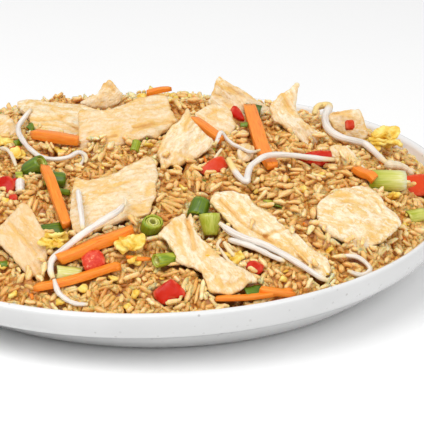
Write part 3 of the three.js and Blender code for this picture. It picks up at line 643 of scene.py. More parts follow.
# ------------------------------------------------------------------ chicken
CHICKEN = {
    # name: ((x, y, lift, lean, facing, turn), thickness, sag, fibre angle, sauce, tint,
    #        outline, creases as (depth, width, line)); a negative depth is a ridge
    "back_left": (
        (-43, 4, 5, 14, -90, 0), 8, 1, -8, 0.3, 0.1,
        [(-19.8, 12.3), (-18.1, 13.6), (-12.4, 13.5), (-5.7, 11.6), (0.1, 10.6), (6.2, 10.4), (11, 8.9), (15.3, 6.6),
         (20.1, 5.1), (18.7, -1.7), (15.4, -8.5), (12.1, -14.4), (6.8, -17.1), (0, -17.4), (-6.1, -15.2),
         (-9.3, -10.4), (-11.6, -5.5), (-13.9, -0.6), (-16.7, 4.3), (-19.4, 8.4)],
        [(0.8, 1.2, [(-11.4, -3), (-5.7, -4.5), (0.2, -3.4), (6.1, -7.3), (10.5, -11.2)]),
         (0.5, 0.9, [(-10, -8), (-4, -8.5), (2.6, -9.9), (8.8, -12.9)]),
         (0.4, 0.8, [(-4.4, 7.4), (-1.1, 1.6), (2, -2.4)])],
    ),
    "back_long": (
        (-10, -12, 8, 28, -80, 0), 8, 1, 17, 0.36, 0.3,
        [(-21.9, 4.4), (-18.3, 5.1), (-13.2, 4.4), (-9.1, 5.5), (-5.2, 8.1), (-0.7, 10.5), (3.8, 13.8), (9.7, 16.4),
         (14.3, 17.8), (17.5, 17.6), (18.6, 14.5), (19.6, 9.6), (21.1, 6), (22.6, 2.7), (20.8, 1), (18.7, -2.3),
         (16, -5.1), (13.9, -9), (10.2, -8.2), (6.2, -10.4), (1.3, -12.8), (-3.1, -15.4), (-6.9, -18.5),
         (-10.8, -21.3), (-13.9, -22.5), (-16.7, -20.7), (-20.3, -19.9), (-21.1, -14.5), (-21.7, -5.5)],
        [(0.5, 0.7, [(7.3, 6.4), (12.3, 8.8), (18.2, 12)]),
         (0.8, 0.8, [(3.2, -4), (9.5, -2.1), (14.9, -0.3), (20.4, 1.6)]),
         (0.5, 0.7, [(2.4, -7.2), (8.7, -4), (14.1, -2.2)]), (0.45, 0.6, [(4.4, 10.1), (9.9, 11.7), (16.7, 14.3)]),
         (0.6, 0.9, [(-16.5, -9.8), (-14, -13.8), (-11.9, -17.8)]),
         (0.5, 0.8, [(-15.6, -8.5), (-9.6, -11.5), (-4.7, -10.4)])],
    ),
    "back_peak": (
        (-21, 19, 12, 70, -90, 0), 6, 0, 40, 0.1, 0.2,
        [(-12.7, -6.5), (-8.1, -4), (-4.8, -2.1), (-3, 0.3), (-2.1, 2.7), (-0.7, 3.4), (0.7, 4.6), (2.1, 3.7),
         (3.5, 1.9), (5.5, 0), (6.9, -1.8), (6.5, -4.6), (2.3, -7.6), (-4.2, -8.7), (-9.9, -8.3)],
        [(0.5, 0.9, [(-1.6, 2.7), (1.2, 1.3), (3.1, -1)])],
    ),
    "middle_fold": (
        (18, -37, 10, 45, -75, 0), 9, 0, 58, 0.2, 0.1,
        [(-0.5, 14.8), (-2, 11.4), (-4.1, 7.9), (-6.8, 5.8), (-8.5, 2.9), (-10.4, -0.7), (-12.1, -4.8), (-13, -8.6),
         (-12.1, -11.2), (-11.1, -13.7), (-9.5, -15.5), (-7, -14.3), (-4.4, -14.7), (-1.3, -12.2), (1.8, -10.6),
         (4.9, -8.3), (8, -5.5), (10.6, -2.8), (11.9, -0.1), (8.7, 2.4), (5, 5.7), (1.7, 8.8), (0.7, 11.4)],
        [(-1.5, 2.6, [(-0.7, 13.8), (-1, 7.8), (-2.1, 1.2), (-3.3, -6.3), (-6.2, -13.4)]),
         (0.7, 0.9, [(0.4, 8.9), (-1.4, 5.7), (-1.7, 3.2)]), (0.4, 0.8, [(-9.6, -6), (-6.8, -8.6), (-3.2, -9.2)])],
    ),
    "back_right_peak": (
        (38, 24, 10, 60, -80, 0), 7, 0, -32, 0.3, 0.1,
        [(-11.2, -4.5), (-10.3, -1.5), (-9.2, 1.9), (-8.3, 5.3), (-7.2, 7.8), (-6.3, 8.6), (-4.5, 7.5), (-2.3, 5.7),
         (0.6, 4.1), (4, 2.9), (7.4, 0.9), (11.3, -1.6), (14.7, -3.5), (18.1, -5.3), (18.2, -8.2), (14.3, -9.8),
         (8.6, -11.1), (2.8, -10.9), (-3, -8.3), (-8.3, -6.2)],
        [(0.5, 0.7, [(-8.9, -0.5), (-5.1, -1.2), (-1.2, -3.4)]), (0.6, 0.7, [(-7.9, -2.4), (-4, -4.1), (-0.6, -5.8)]),
         (0.4, 0.8, [(-2.3, 3.2), (1.6, 1), (5.5, -1.1)])],
    ),
    "back_right_flat": (
        (30, -6, 6, 35, -80, 0), 7, 0, -24, 0.2, 0.2,
        [(-9.4, 4.3), (-7.1, 6.5), (-4.4, 8.8), (-1.2, 10.6), (2.1, 10.1), (5.9, 8.4), (7.7, 6.1), (8, 2.7),
         (9.7, 0.6), (8.4, -3.5), (6.6, -7), (4.3, -9.5), (1.1, -8.1), (-2.2, -4.5), (-5.6, -0.9), (-8.4, 1.6)],
        [(0.6, 0.8, [(-3.3, 3.2), (-1.1, 5.7), (2.1, 7.5), (4.9, 8.6)]),
         (0.4, 0.8, [(-4.7, 0.8), (-0.5, 1.8), (4.1, 0.6)])],
    ),
    "right_curl": (
        (66, 2, 7, 58, -70, 0), 7, 0, -50, 0.18, 0,
        [(-10.8, 6.7), (-9.8, 8.9), (-7.9, 10.3), (-6.5, 12.4), (-4.3, 14), (-2.1, 15), (-0.4, 16.8), (1.8, 19.5),
         (3, 18.4), (2.1, 15.6), (1.7, 11.8), (1.5, 7.4), (2.5, 4.7), (4.5, 2), (7.5, -0.6), (11, -2.7), (14.5, -4),
         (17, -5.9), (18.5, -8.7), (19.6, -10.9), (16.6, -11.9), (11.7, -12.1), (7.7, -12.3), (5.2, -9.4),
         (1.7, -6.6), (-2.3, -3.7), (-5.7, -1.6), (-8.7, -0.2), (-10.2, 2.9)],
        [(0.5, 0.9, [(-4.5, 12.6), (-3, 8), (-0.9, 3.8)]),
         (-0.9, 1.8, [(-1, 10.5), (0.6, 4.5), (5.1, -0.4), (11.6, -5)]),
         (0.4, 0.8, [(3.6, -3.8), (8.6, -7.2), (12.6, -10.1)])],
    ),
    "far_right": (
        (92, 14, 8, 62, -75, 0), 7, 0, 4, 0.22, 0.2,
        [(-8.3, 4.6), (-5.4, 5.7), (-1, 6.6), (2.9, 7.2), (6.1, 7.6), (7.4, 6), (8.2, 3.2), (9.5, -0.5), (10.5, -3.8),
         (9.1, -6.3), (5.1, -6.2), (0.7, -5.3), (-3.3, -4.1), (-6.3, -1.9), (-7.8, 1.3)],
        [(0.7, 0.8, [(-6.9, 4.5), (-2.5, 5.5), (2, 6.2)]), (0.4, 0.8, [(-2.4, 3.1), (-1.4, -0.7), (-0.8, -4.5)])],
    ),
    "front_left": (
        (-50, -104, 7, 40, -100, 0), 8, 0, -55, 0.12, 0.6,
        [(-0.7, 18.2), (1, 17.9), (3.3, 15.9), (5.2, 12.5), (7.2, 8.9), (9.1, 5.3), (12.2, 0.1), (11.8, -4.5),
         (11.7, -9.2), (11.6, -13.8), (9.6, -16.2), (6.7, -15.9), (4.1, -15.2), (1, -11.6), (-2.7, -7.1),
         (-5.9, -3.6), (-9.1, -0.2), (-12.3, 2.7), (-12.1, 5), (-8.8, 7.3), (-5.7, 11.4), (-3, 14.7)],
        [(1, 0.8, [(-5.1, 8.6), (-1.4, 4.2), (3.2, -1), (7.3, -6.3)]), (-0.6, 2, [(-3, 8), (1.6, 3.7), (6.2, -1.6)]),
         (0.4, 0.6, [(-6.9, 3.9), (-3.4, 2.4), (-0.7, 0.5)]), (0.3, 0.6, [(0.1, 12.7), (3.4, 7.9), (6.3, 3.1)])],
    ),
    "middle_large": (
        (-13, -81, 6, 24, -85, 0), 7, 1, 24, 0.2, 0.25,
        [(-15.9, 9.8), (-14.1, 9), (-11.5, 8), (-7.7, 8.6), (-4, 10.3), (-0.6, 12.1), (2.2, 14.7), (5.1, 17.6),
         (8.8, 20.6), (12.2, 23.6), (14.5, 24.7), (16.3, 23.6), (17.5, 20.9), (18, 17.9), (19.2, 14), (18.5, 10.1),
         (18.2, 6.5), (18.6, 2.9), (17.7, -1.3), (16.8, -5.5), (16.1, -8.7), (13.2, -10.4), (10.7, -12), (5.8, -13.5),
         (0.9, -16.4), (-4, -19), (-8.8, -21.6), (-13.8, -21.9), (-15.7, -17.5), (-16.9, -12.4), (-16.8, -7.7),
         (-16.9, -3.1), (-16.7, 2.3), (-16.5, 6.4)],
        [(-1, 3.5, [(14.4, 23.1), (10.8, 14.4), (6.1, 6.8), (0.9, -0.7)]),
         (0.6, 0.8, [(-2.8, 5), (1.5, 4.7), (6.4, 7.4)]), (0.6, 0.8, [(-3.4, 0.8), (1.7, 0.6), (5.8, 2.6)]),
         (0.4, 0.6, [(-16.2, 7.4), (-13.1, 5.5)]), (0.4, 0.6, [(-16.4, 5), (-13.3, 2.8)]),
         (0.4, 0.6, [(-16.5, 2.6), (-14, 0.4)]), (0.6, 1.4, [(8.8, -6.6), (11.9, -8.7), (14.8, -7.9)]),
         (0.5, 1, [(15.8, 8.1), (14.8, 0.9), (13, -5.1)])],
    ),
    "front_fold": (
        (24, -111, 7, 38, -82, 0), 7, 1, -52, 0.18, 0.2,
        [(-16.4, 3.3), (-15.3, 6), (-13.3, 8.8), (-11.3, 11.3), (-9.7, 13.3), (-7.9, 14.4), (-6, 15.3), (-5, 13.9),
         (-4.5, 12.1), (-4.1, 14.2), (-3.5, 15.5), (-2.5, 13.9), (-2.2, 10.8), (-1.2, 7.1), (0.9, 3.9), (3.9, 1.3),
         (6.4, -0.8), (9.4, -3.4), (12.7, -6), (16, -7.6), (19.3, -8.7), (21.8, -10.4), (24.8, -12.7), (24.4, -14.2),
         (21.7, -14.8), (20.1, -15.9), (18.6, -17.8), (16.2, -19.6), (13.4, -20.7), (10.1, -20.5), (7.2, -20.2),
         (5, -19.5), (4.3, -16.8), (3.4, -14.1), (1.7, -11.4), (-0.8, -10), (-3.7, -9), (-7, -8.3), (-8.5, -7.1),
         (-8.3, -5.2), (-9.8, -2.7), (-11.6, -0.5), (-12.7, 1.7), (-14.4, 3)],
        [(1.8, 1, [(-4.5, 12.5), (-3.3, 7.4), (-2.4, 3.2), (-1.4, -0.9)]),
         (0.6, 0.8, [(-10.1, 10.7), (-9.1, 6), (-8.5, 0.4)]),
         (0.5, 0.8, [(-7.2, 11.4), (-7, 6.2), (-6.4, -0.4), (-4.6, -4.9)]),
         (0.6, 0.8, [(3.6, -3.8), (6, -2.3), (8.5, -3.5)]),
         (-1, 2.2, [(6.2, -11.5), (10.4, -13.6), (15.3, -14.1), (20.2, -11.9)]),
         (0.5, 0.9, [(9.4, -6.7), (9.1, -11.3), (7.9, -15.1)]),
         (0.6, 0.9, [(11.3, -17.6), (14.9, -16.5), (18.2, -14.4)])],
    ),
    "front_long": (
        (54, -91, 5, 34, -75, 0), 6, 1, -36, 0.2, 0,
        [(-25.4, 9.4), (-24.4, 12.6), (-22.3, 14.4), (-19.3, 15.2), (-16.3, 15.7), (-12.9, 14.9), (-9.8, 14.7),
         (-8.1, 12.1), (-5.7, 9.1), (-2.9, 7.1), (0.1, 5.5), (2.5, 4), (4.4, 1.4), (7, -0.5), (9.1, -2), (12.1, -3.4),
         (14.7, -5.9), (16.8, -8.6), (20.2, -10.5), (23.6, -12.3), (25.7, -15), (25.6, -19.5), (23, -22.3),
         (19.6, -21.2), (15.8, -19.2), (12.5, -17.2), (9.1, -14.6), (7, -12.4), (3.6, -11.3), (-0.3, -9.8),
         (-4.5, -8.8), (-8.8, -8.6), (-12.2, -6.7), (-14.8, -3.5), (-17.8, -0.1), (-20.8, 3.6), (-23.5, 7)],
        [(1, 0.8, [(-21, 10.5), (-17, 6.3), (-13.6, 2.2), (-9.2, -2.3), (-5, -4.8), (-1.6, -5.7)]),
         (1, 0.8, [(-1.6, -5.7), (2.3, -3.4), (7, -0.8)]),
         (0.5, 0.7, [(-15.8, 13.2), (-12.4, 8.5), (-9.7, 4.2), (-7.1, 1)]),
         (0.7, 1, [(-4.9, -7.6), (-0.7, -7.8), (3.6, -9.3), (7, -11.9)]),
         (0.5, 1, [(9.5, -8.5), (11.6, -11.3), (15.5, -14.3)])],
    ),
    "right_oval": (
        (92, -75, 7, 36, -62, 0), 7, 1, -14, 0.04, 0,
        [(-17.9, -6.2), (-17.2, -2.7), (-17.4, 1.4), (-16.9, 5.2), (-14.5, 8.3), (-11.8, 11), (-8.5, 13.9),
         (-5.7, 15.6), (-2.5, 16.1), (-0.6, 17.7), (2.2, 18.7), (5.5, 19), (8, 17.9), (10.3, 16), (12.3, 13.2),
         (13.8, 10.4), (15.8, 9), (18.1, 7.9), (19.9, 5.4), (20.7, 3), (18.7, -0.4), (15.8, -3.6), (13.2, -7),
         (10.6, -9.1), (7.8, -11), (5, -13.7), (1.7, -16.4), (-1.9, -19.5), (-3.7, -19.3), (-3.4, -16.2),
         (-3.2, -13.3), (-5.4, -12), (-8.5, -11.2), (-11.7, -9.8), (-14.8, -8.1)],
        [(0.6, 0.8, [(-15.5, 3.9), (-10, 6.2), (-3.1, 8.2), (4.2, 8.3)]),
         (0.5, 0.8, [(-12.7, 8.7), (-7.2, 11.3), (-1.7, 11.5)]),
         (0.8, 0.8, [(-2, 15.6), (3.1, 16.3), (7.7, 14.3), (10.8, 10.3), (12.5, 6.9)]),
         (0.5, 0.8, [(-16.9, -1.1), (-13.3, 2.3), (-8.7, 4.9)]),
         (0.5, 0.8, [(0.7, 13.3), (4.8, 12.1), (8, 9.1), (9.7, 5.8)]),
         (0.4, 1, [(6.5, -7.9), (10.8, -3.9), (15.1, 1.7), (17.5, 5.4)]),
         (0.5, 1.2, [(-2.3, -17), (1.8, -13.6), (6.5, -9.5)])],
    ),
    "right_shred": (
        (92, -17, 4, 40, -70, 0), 5, 0, -38, 0.22, 0,
        [(-9.1, 3.4), (-7.2, 5.3), (-3.8, 5.3), (-1, 4.7), (1.4, 2.4), (3.2, -0.5), (4.6, -2.9), (7, -4.7),
         (6.4, -7.4), (3.6, -6.8), (-0.2, -5.8), (-3.5, -4.2), (-5.8, -3.5), (-7.7, -1.7), (-8.6, 1.3)],
        [(0.6, 0.6, [(-6.7, 3.8), (-2.5, 0.7), (2.7, -4.3)]), (0.5, 0.6, [(-7.7, 1), (-3.5, -2.1), (0.8, -4.6)]),
         (0.5, 0.6, [(-3.8, 4.2), (-0.1, 1.1), (3.2, -2.6)])],
    ),
    "left_flat": (
        (-93, -38, 6, 26, -150, 0), 8, 1, 30, 0.24, 0.1,
        [(-17, 4), (-9, 16), (6, 19), (16, 8), (15, -9), (3, -18), (-12, -13)],
        [(0.8, 0.8, [(-12, -4), (-2, 2), (11, 9)]), (0.5, 0.7, [(-6, -12), (4, -6), (13, 0)])],
    ),
    "left_long": (
        (-100, 28, 5, 26, 160, 50), 8, 2, 20, 0.22, 0,
        [(-24, 3), (-12, 10), (8, 11), (24, 5), (22, -7), (2, -10), (-18, -9)],
        [(0.8, 0.8, [(-18, -3), (-4, 1), (12, 5)]), (0.5, 0.7, [(-6, -6), (6, -3), (18, 0)])],
    ),
    "rear_flat": (
        (-34, 81, -1.8, 19, 105, -15), 6, 1.5, 10, 0.25, 0.1,
        [(-21, 2), (-14, 14), (4, 18), (19, 11), (21, -4), (8, -15), (-12, -14)],
        [(0.9, 0.8, [(-15, 3), (-2, 6), (14, 7)]), (0.5, 0.8, [(-10, -8), (3, -6), (15, -4)])],
    ),
    "rear_long": (
        (28, 108, -0.6, 26, 75, 15), 6, 1.5, 15, 0.18, 0,
        [(-25, 5), (-10, 11), (12, 9), (25, 2), (20, -8), (-2, -9), (-22, -6)],
        [(0.8, 0.8, [(-20, -1), (-5, 3), (12, 4)]), (0.4, 0.7, [(-6, -6), (6, -3), (18, -2)])],
    ),
    "rear_right": (
        (88, 72, 0.6, 27, 42, 10), 6, 1, -20, 0.22, 0.2,
        [(-14, 4), (-8, 17), (7, 18), (15, 5), (12, -12), (-2, -18), (-13, -10)],
        [(0.8, 0.8, [(-9, 8), (0, 4), (11, -1)]), (0.5, 0.7, [(-8, -4), (1, -8), (8, -11)])],
    ),
}


def lying_frame(x, y, lift, lean, facing, turn=0):
    """Origin and axes, as columns, of a flat-lying shape: right, away and its normal."""
    lean, facing, turn = map(math.radians, (lean, facing, turn))
    normal = np.array([math.sin(lean) * math.cos(facing), math.sin(lean) * math.sin(facing), math.cos(lean)])
    right = np.array([1.0, 0, 0]) - normal[0] * normal
    right /= np.linalg.norm(right)
    away = np.cross(normal, right)
    c, s = math.cos(turn), math.sin(turn)
    axes = np.stack([right * c + away * s, away * c - right * s, normal], axis=1)
    return np.array([x, y, dome_height(x, y) - back_drop(x, y) + lift]), axes


def ragged(loop, amount, shift):
    """The outline pushed in and out a little, as torn or roughly cut food has it."""
    at = spots(*loop.T, shift)
    push = amount * (0.65 * noise(at / 2.6) + 0.45 * noise(at / 1.1 + 30))
    return loop + outward_of(loop) * push[:, None]


def slice_shape(spec, shift, spacing):
    """A torn slice of meat: points, faces and attributes."""
    place, thickness, sag, fibre_angle, stain, tint, corners, creases = spec
    loop = ragged(closed_curve(corners, spacing), 0.5, shift)
    reach = np.linalg.norm(loop, axis=1).max()
    a = math.radians(fibre_angle)

    def local(flat):
        """Places along and across the fibres, which wander a little."""
        along = flat[:, 0] * math.cos(a) + flat[:, 1] * math.sin(a)
        across = flat[:, 1] * math.cos(a) - flat[:, 0] * math.sin(a)
        return along, across + 1.3 * noise(spots(along / 16, across / 14, shift))

    def ridges(flat):
        along, across = local(flat)
        return noise.layered(spots(along / 14 + shift, across / 3.4, 2.0), 2)

    def lumps(flat):
        return noise(spots(*flat.T / 10, shift))

    def flakes(flat):
        along, across = local(flat)
        step = (across + 0.16 * along + 1.2 * lumps(flat)) / 6.0
        return step - np.floor(step)

    def cut(flat):
        """Depth of the creases and how much darker they make the meat: sauce in them, and painted shade."""
        depth, mark = np.zeros(len(flat)), np.zeros(len(flat))
        for deep, wide, line in creases:
            near = line_distance(flat, curve_through(line, 12))
            depth += deep * np.exp(-((near / wide) ** 2))
            if deep > 0:
                mark += min(deep, 1) * np.exp(-((near / (1.2 * wide)) ** 2))
        return depth, mark

    def top_at(flat, edge_distance):
        r2 = (flat**2).sum(1) / reach**2
        pits = noise(spots(*flat.T / 2.3, shift))
        dots = noise(spots(*flat.T / 1.3, shift + 5))
        height = 0.6 * (1 - r2) - sag * r2 + 0.8 * lumps(flat)
        height += -0.38 * np.abs(ridges(flat)) + 0.28 * (flakes(flat) ** 3) + 0.2 * pits + 0.12 * dots
        return height - cut(flat)[0] - 0.35 * np.exp(-((edge_distance / 0.6) ** 2))

    levels = [(0.35, 0.15, 0.15), (0.22 * thickness, 0.05, 0.4), (0.5 * thickness, -1.3, 0.5), (thickness, -2.8, 0.3)]
    verts, faces, down, edge_distance = slab_shape(loop, spacing, top_at, levels, shift)
    flat = verts[:, :2]
    along, across = local(flat)
    # darker colour in the low parts of the fibre relief and at the flake steps
    groove = smoothstep(0.05, 0.5, np.abs(ridges(flat))) * 0.14 + smoothstep(0.8, 1.0, flakes(flat)) * 0.16
    patches = 0.32 * noise(spots(along / 12 + 5, across / 6, shift))
    golden = smoothstep(-0.25, 0.35, noise(spots(*flat.T / 13, shift + 9)))
    rim = (0.6 * golden - 0.15) * np.exp(-((edge_distance / 0.8) ** 2)) * (1 - smoothstep(0.6, 1.6, down))
    attributes = {
        "fibre": np.column_stack([along + shift, across, verts[:, 2]]),
        # sauce, golden edges, and painted shade: darker colour in the creases and on the sides below the top edge
        "stain": stain + groove + patches + rim + 0.85 * cut(flat)[1] + 0.1 * smoothstep(0, 2, down),
        "tint": np.full(len(verts), tint),
    }
    origin, axes = lying_frame(*place)
    placed = verts @ axes.T + origin
    placed[:, 2] = np.minimum(placed[:, 2], TALLEST)
    return placed, faces, attributes


SLICE_MESH = 0.62
FLAKE_MESH = 0.9
toppings = [
    make_piece(f"slice_{name}", "chicken", *slice_shape(spec, 31.0 * k, SLICE_MESH), f"chicken_{name}")
    for k, (name, spec) in enumerate(CHICKEN.items(), 1)
]

# ------------------------------------------------------------------ red pepper and egg
PEPPER = {
    # name: ((x, y, lift, lean, facing), how much of the skin shows, tint, outline)
    "left": ((-61, -62, 3, 40, -110), 1, 0, [(-4, 4.7), (-1.4, 5.7), (1.4, 5.6), (3.3, 3.9), (4.7, 1.3), (4.2, -1.2),
        (2, -3), (-0.7, -3.2), (-4, -1.4)]),
    "front_left": ((-19, -114, 4, 50, -100), 0.1, 0, [(-4.9, 0.4), (-3.7, 2.3), (-1.2, 3.3), (2.1, 3.5), (3.6, 2.4),
        (4.8, -0.2), (4.9, -2.8), (3.3, -4), (1.5, -5.7), (-0.8, -6.1), (-2.7, -5.5), (-4.1, -3.1)]),
    "front_diamond": ((13, -127, 3.5, 50, -90), 1, 0.1, [(-6.3, -1.8), (-3, 1), (0.6, 3.8), (3.3, 1.8), (6.2, -0.9),
        (6.7, -3.4), (3.7, -4.5), (0.9, -5), (-1.1, -7.2), (-3.6, -6.2), (-6.1, -3.9)]),
    "middle": ((30, -49, 4, 45, -85), 0.9, 0.45, [(-6.6, -3.3), (-4.4, -1), (-1.8, 1.8), (1.2, 3.7), (3.8, 4.2),
        (5, 2.1), (6.1, -0.2), (4.4, -2.5), (1.8, -4.1), (-1.2, -4.9), (-4.1, -4.8)]),
    "back": ((41, 8, 8, 55, -80), 1, 0, [(-3.8, -0.1), (-2.6, 1.9), (-1, 1.7), (1, -0.3), (2.2, -2.7), (3.2, -4.8),
        (0.6, -4.7), (-2.3, -3.2), (-3.5, -1.8)]),
    "right_long": ((77, -26, 3, 50, -90), 1, 0.1, [(-7.4, 1.7), (-3.4, 3.2), (1.2, 3.8), (5.7, 4), (6.1, 1.6),
        (5.3, -1.1), (2.1, -3.3), (-2.9, -2.7), (-7.4, -1.4), (-8.7, 0.2)]),
    "front_right": ((48, -112, 3.5, 45, -80), 0.9, 0.1, [(-3.7, -0.5), (-2.3, 1.6), (0.2, 1.9), (1.9, 0.8),
        (3.6, 0.3), (3.2, -2.2), (1.2, -3.9), (-1.4, -3), (-3.7, -1.8)]),
    "far_right": ((123, -18, 3, 45, -60), 0.9, 0.65, [(-7.6, 1.8), (-5.2, 4.2), (-0.6, 6), (4.6, 7.8), (7.7, 6.9),
        (7.5, 0.3), (4.8, -3.1), (0.1, -4.7), (-4, -5.6), (-7.2, -4)]),
    "rear": ((-64, 98, 2, 36, 120), 1, 0.2, [(-6, 1), (-2, 6), (5, 5), (7, -2), (2, -6), (-5, -5)]),
}


def dice_shape(spec, shift):
    """A diced piece with flat faces and crisp edges: points, faces and attributes."""
    place, skin, tint, corners = spec
    loop = ragged(straight_loop(corners, 0.55), 0.12, shift)

    def top_at(flat, edge_distance):
        bend = 0.25 * noise(spots(*flat.T / 4.0, shift))
        return bend - 0.3 * np.exp(-((edge_distance / 0.5) ** 2)) - 0.012 * (flat**2).sum(1)

    levels = [(0.4, 0.15, 0.05), (2.0, 0.1, 0.15), (4.0, -0.4, 0.1)]
    verts, faces, down, edge_distance = slab_shape(loop, 1.0, top_at, levels, shift)
    attributes = {
        "skin": skin * (1 - smoothstep(0.4, 1.2, down)),
        "tint": np.full(len(verts), tint),
        "edge": np.exp(-((edge_distance / 0.7) ** 2)) * (1 - smoothstep(0.6, 1.5, down)),
    }
    origin, axes = lying_frame(*place)
    return verts @ axes.T + origin, faces, attributes


toppings += [
    make_piece(f"dice_{name}", "pepper", *dice_shape(spec, 17.0 * k), f"red_pepper_{name}")
    for k, (name, spec) in enumerate(PEPPER.items(), 1)
]


def add_leaf(parts, centre, axes, length, width, shift):
    """A thin wavy scrap of egg with a ragged outline."""
    own = np.random.default_rng(int(shift * 10))
    angles = np.arange(9) * 2 * math.pi / 9 + own.normal(0, 0.12, 9)
    reach = own.uniform(0.72, 1.12, 9)
    corners = np.stack([length / 2 * reach * np.cos(angles), width / 2 * reach * np.sin(angles)], axis=1)
    loop = ragged(closed_curve(corners, 0.6), 0.45, shift)
    curl = own.normal(0, 0.05)

    def top_at(flat, edge_distance):
        at = spots(*flat.T, shift)
        waves = 1.3 * noise(at / 3.6) + 0.8 * (0.3 - np.abs(noise(at / 2.2 + 9))) + 0.25 * noise(at / 1.0)
        return waves + curl * (flat**2).sum(1) - 0.25 * np.exp(-((edge_distance / 0.4) ** 2))

    levels = [(0.3, 0.1, 0.1), (0.9, 0.05, 0.2), (1.3, -0.5, 0.1)]
    verts, faces, *_ = slab_shape(loop, 0.7, top_at, levels, shift)
    parts.add(verts @ axes.T + centre, faces)


def spun(yaw, tilt, roll):
    """Axes, as columns, of something rolled, tilted and then turned about the vertical."""
    turn = Matrix.Rotation(yaw, 3, "Z") @ Matrix.Rotation(tilt, 3, "Y") @ Matrix.Rotation(roll, 3, "X")
    return np.array(turn)


CURD_SCRAPS = 8


def make_curd(name, seed):
    """A loose pile of egg scraps that fills the solid's place."""
    own = np.random.default_rng(seed)
    solid = mesh_arrays(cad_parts[f"egg_{name}"].data)[0]
    middle, half = (solid.max(0) + solid.min(0)) / 2, (solid.max(0) - solid.min(0)) / 2
    top = middle[2] + half[2]
    parts = Parts()
    for k in range(CURD_SCRAPS):
        angle, away = k * 2.4 + own.normal(0, 0.3), 0.62 * math.sqrt(k / CURD_SCRAPS)
        x, y = middle[0] + away * half[0] * math.cos(angle), middle[1] + away * half[1] * math.sin(angle)
        z = top - 0.8 - 0.4 * half[2] * away - own.uniform(0, 0.3) * half[2]
        axes = spun(own.uniform(-3, 3), own.normal(0, 0.35), own.normal(0.2, 0.4))
        length = max(half[0], half[1]) * own.uniform(1.1, 1.7)
        add_leaf(parts, [x, y, z], axes, length, length * own.uniform(0.6, 0.9), seed * 10.0 + k)
    return parts.build(f"curd_{name}", "egg", f"egg_{name}")


toppings += [make_curd(name, seed) for seed, name in enumerate(("front_left", "front_middle", "right"), 61)]

# ------------------------------------------------------------------ spring onion
SPRING_ONION = {
    # name: x, y, lift, lean, facing, turn, pitch, radius, length, bore, taper, green at each end
    "left_dark": (-49, -49, 3, 0, -90, -20, 35, 4, 9, 2.4, 1, 0.95, 0.85),
    "left_short": (-39, -61, 2.6, 0, -90, 12, -8, 3.6, 8.5, 2.2, 1, 0.95, 0.9),
    "middle_ring": (4.5, -96.5, 3, 0, -90, -60, 60, 4.2, 6, 1.6, 1, 0.74, 0.66),
    "front_tube": (12, -114, 3, 0, -90, 35, -5, 3.3, 12, 1.5, 0.7, 0.62, 0.78),
    "middle_dark": (24, -83.5, 2.4, 0, -90, 70, 35, 3.9, 8.5, 2.6, 1, 0.95, 0.88),
    "middle_bulb": (28.9, -94, 3.2, 0, -90, 100, 60, 3.0, 9, 0.3, 1.5, 0.44, 0.40),
    "right_stem": (108, -30, 4, 0, -90, 5, 0, 5.3, 17, 1, 0.9, 0.55, 0.08),
    "rear": (-6, 116, 1, 25, 90, 40, 0, 4.5, 8, 2.2, 1, 0.8, 0.7),
}
TUBE_SEGMENTS = 26
TUBE_END = 0.91  # how much narrower the outer wall is at its cut ends


def tube_layer(outer, inner, start, end, taper):
    """A short hollow layer along x: points, faces and how far along each point is."""
    stations = np.linspace(0, 1, 7)
    a = np.linspace(0, 2 * math.pi, TUBE_SEGMENTS, endpoint=False)
    rings, share = [], []
    for radius, order in ((outer, stations), (inner, stations[::-1])):
        for t in order:
            cut = t in (0.0, 1.0) and radius == outer
            r = radius * (1 + (taper - 1) * t) * (TUBE_END if cut else 1.0)
            rings.append(spots(start + (end - start) * t, r * np.cos(a), r * np.sin(a)))
            share.append(np.full(TUBE_SEGMENTS, t))
    faces = []
    for k in range(len(rings)):
        here, there = k * TUBE_SEGMENTS, (k + 1) % len(rings) * TUBE_SEGMENTS
        for i in range(TUBE_SEGMENTS):
            j = (i + 1) % TUBE_SEGMENTS
            faces.append([here + i, there + i, there + j, here + j])
    return np.vstack(rings), faces, np.concatenate(share)


def make_stem(name, spec, shift):
    """A cut length of stem, its layers one in another."""
    *place, pitch, outer, length, bore, taper, green_start, green_end = spec
    origin, axes = lying_frame(*place)
    tip = math.radians(-pitch)
    tipping = np.array([[math.cos(tip), 0, math.sin(tip)], [0, 1, 0], [-math.sin(tip), 0, math.cos(tip)]])
    parts = Parts()
    layer = 0
    while outer > bore + 0.25:
        wall = min(0.95 if layer == 0 else 0.8, outer - bore + 0.1)
        inset = 0.0 if layer == 0 else 0.25 + 0.35 * (layer % 2)
        verts, faces, share = tube_layer(outer, outer - wall, -length / 2 + inset, length / 2 - inset, taper)
        squash = 1 + 0.10 * math.sin(shift + layer)
        verts[:, 1] *= squash
        verts[:, 2] /= squash
        ring = np.hypot(verts[:, 1], verts[:, 2])
        bumps = 0.18 * noise(spots(verts[:, 0] / 6 + shift, *verts[:, 1:].T / 1.6))
        verts[:, 1:] *= (1 + bumps / np.maximum(ring, 1))[:, None]
        green = (green_start + (green_end - green_start) * share) * (1.0 if layer == 0 else 0.62 - 0.12 * layer)
        green = np.where(ring < outer - 0.55 * wall, green * 0.7, green)
        attributes = {"fibre": verts + [shift, 0, 0], "green": green}
        parts.add(verts @ tipping.T @ axes.T + origin, faces, attributes)
        outer -= wall + 0.12
        layer += 1
    return parts.build(f"ring_{name}", "spring_onion", f"spring_onion_{name}")


toppings += [make_stem(name, spec, 13.0 * k) for k, (name, spec) in enumerate(SPRING_ONION.items(), 1)]

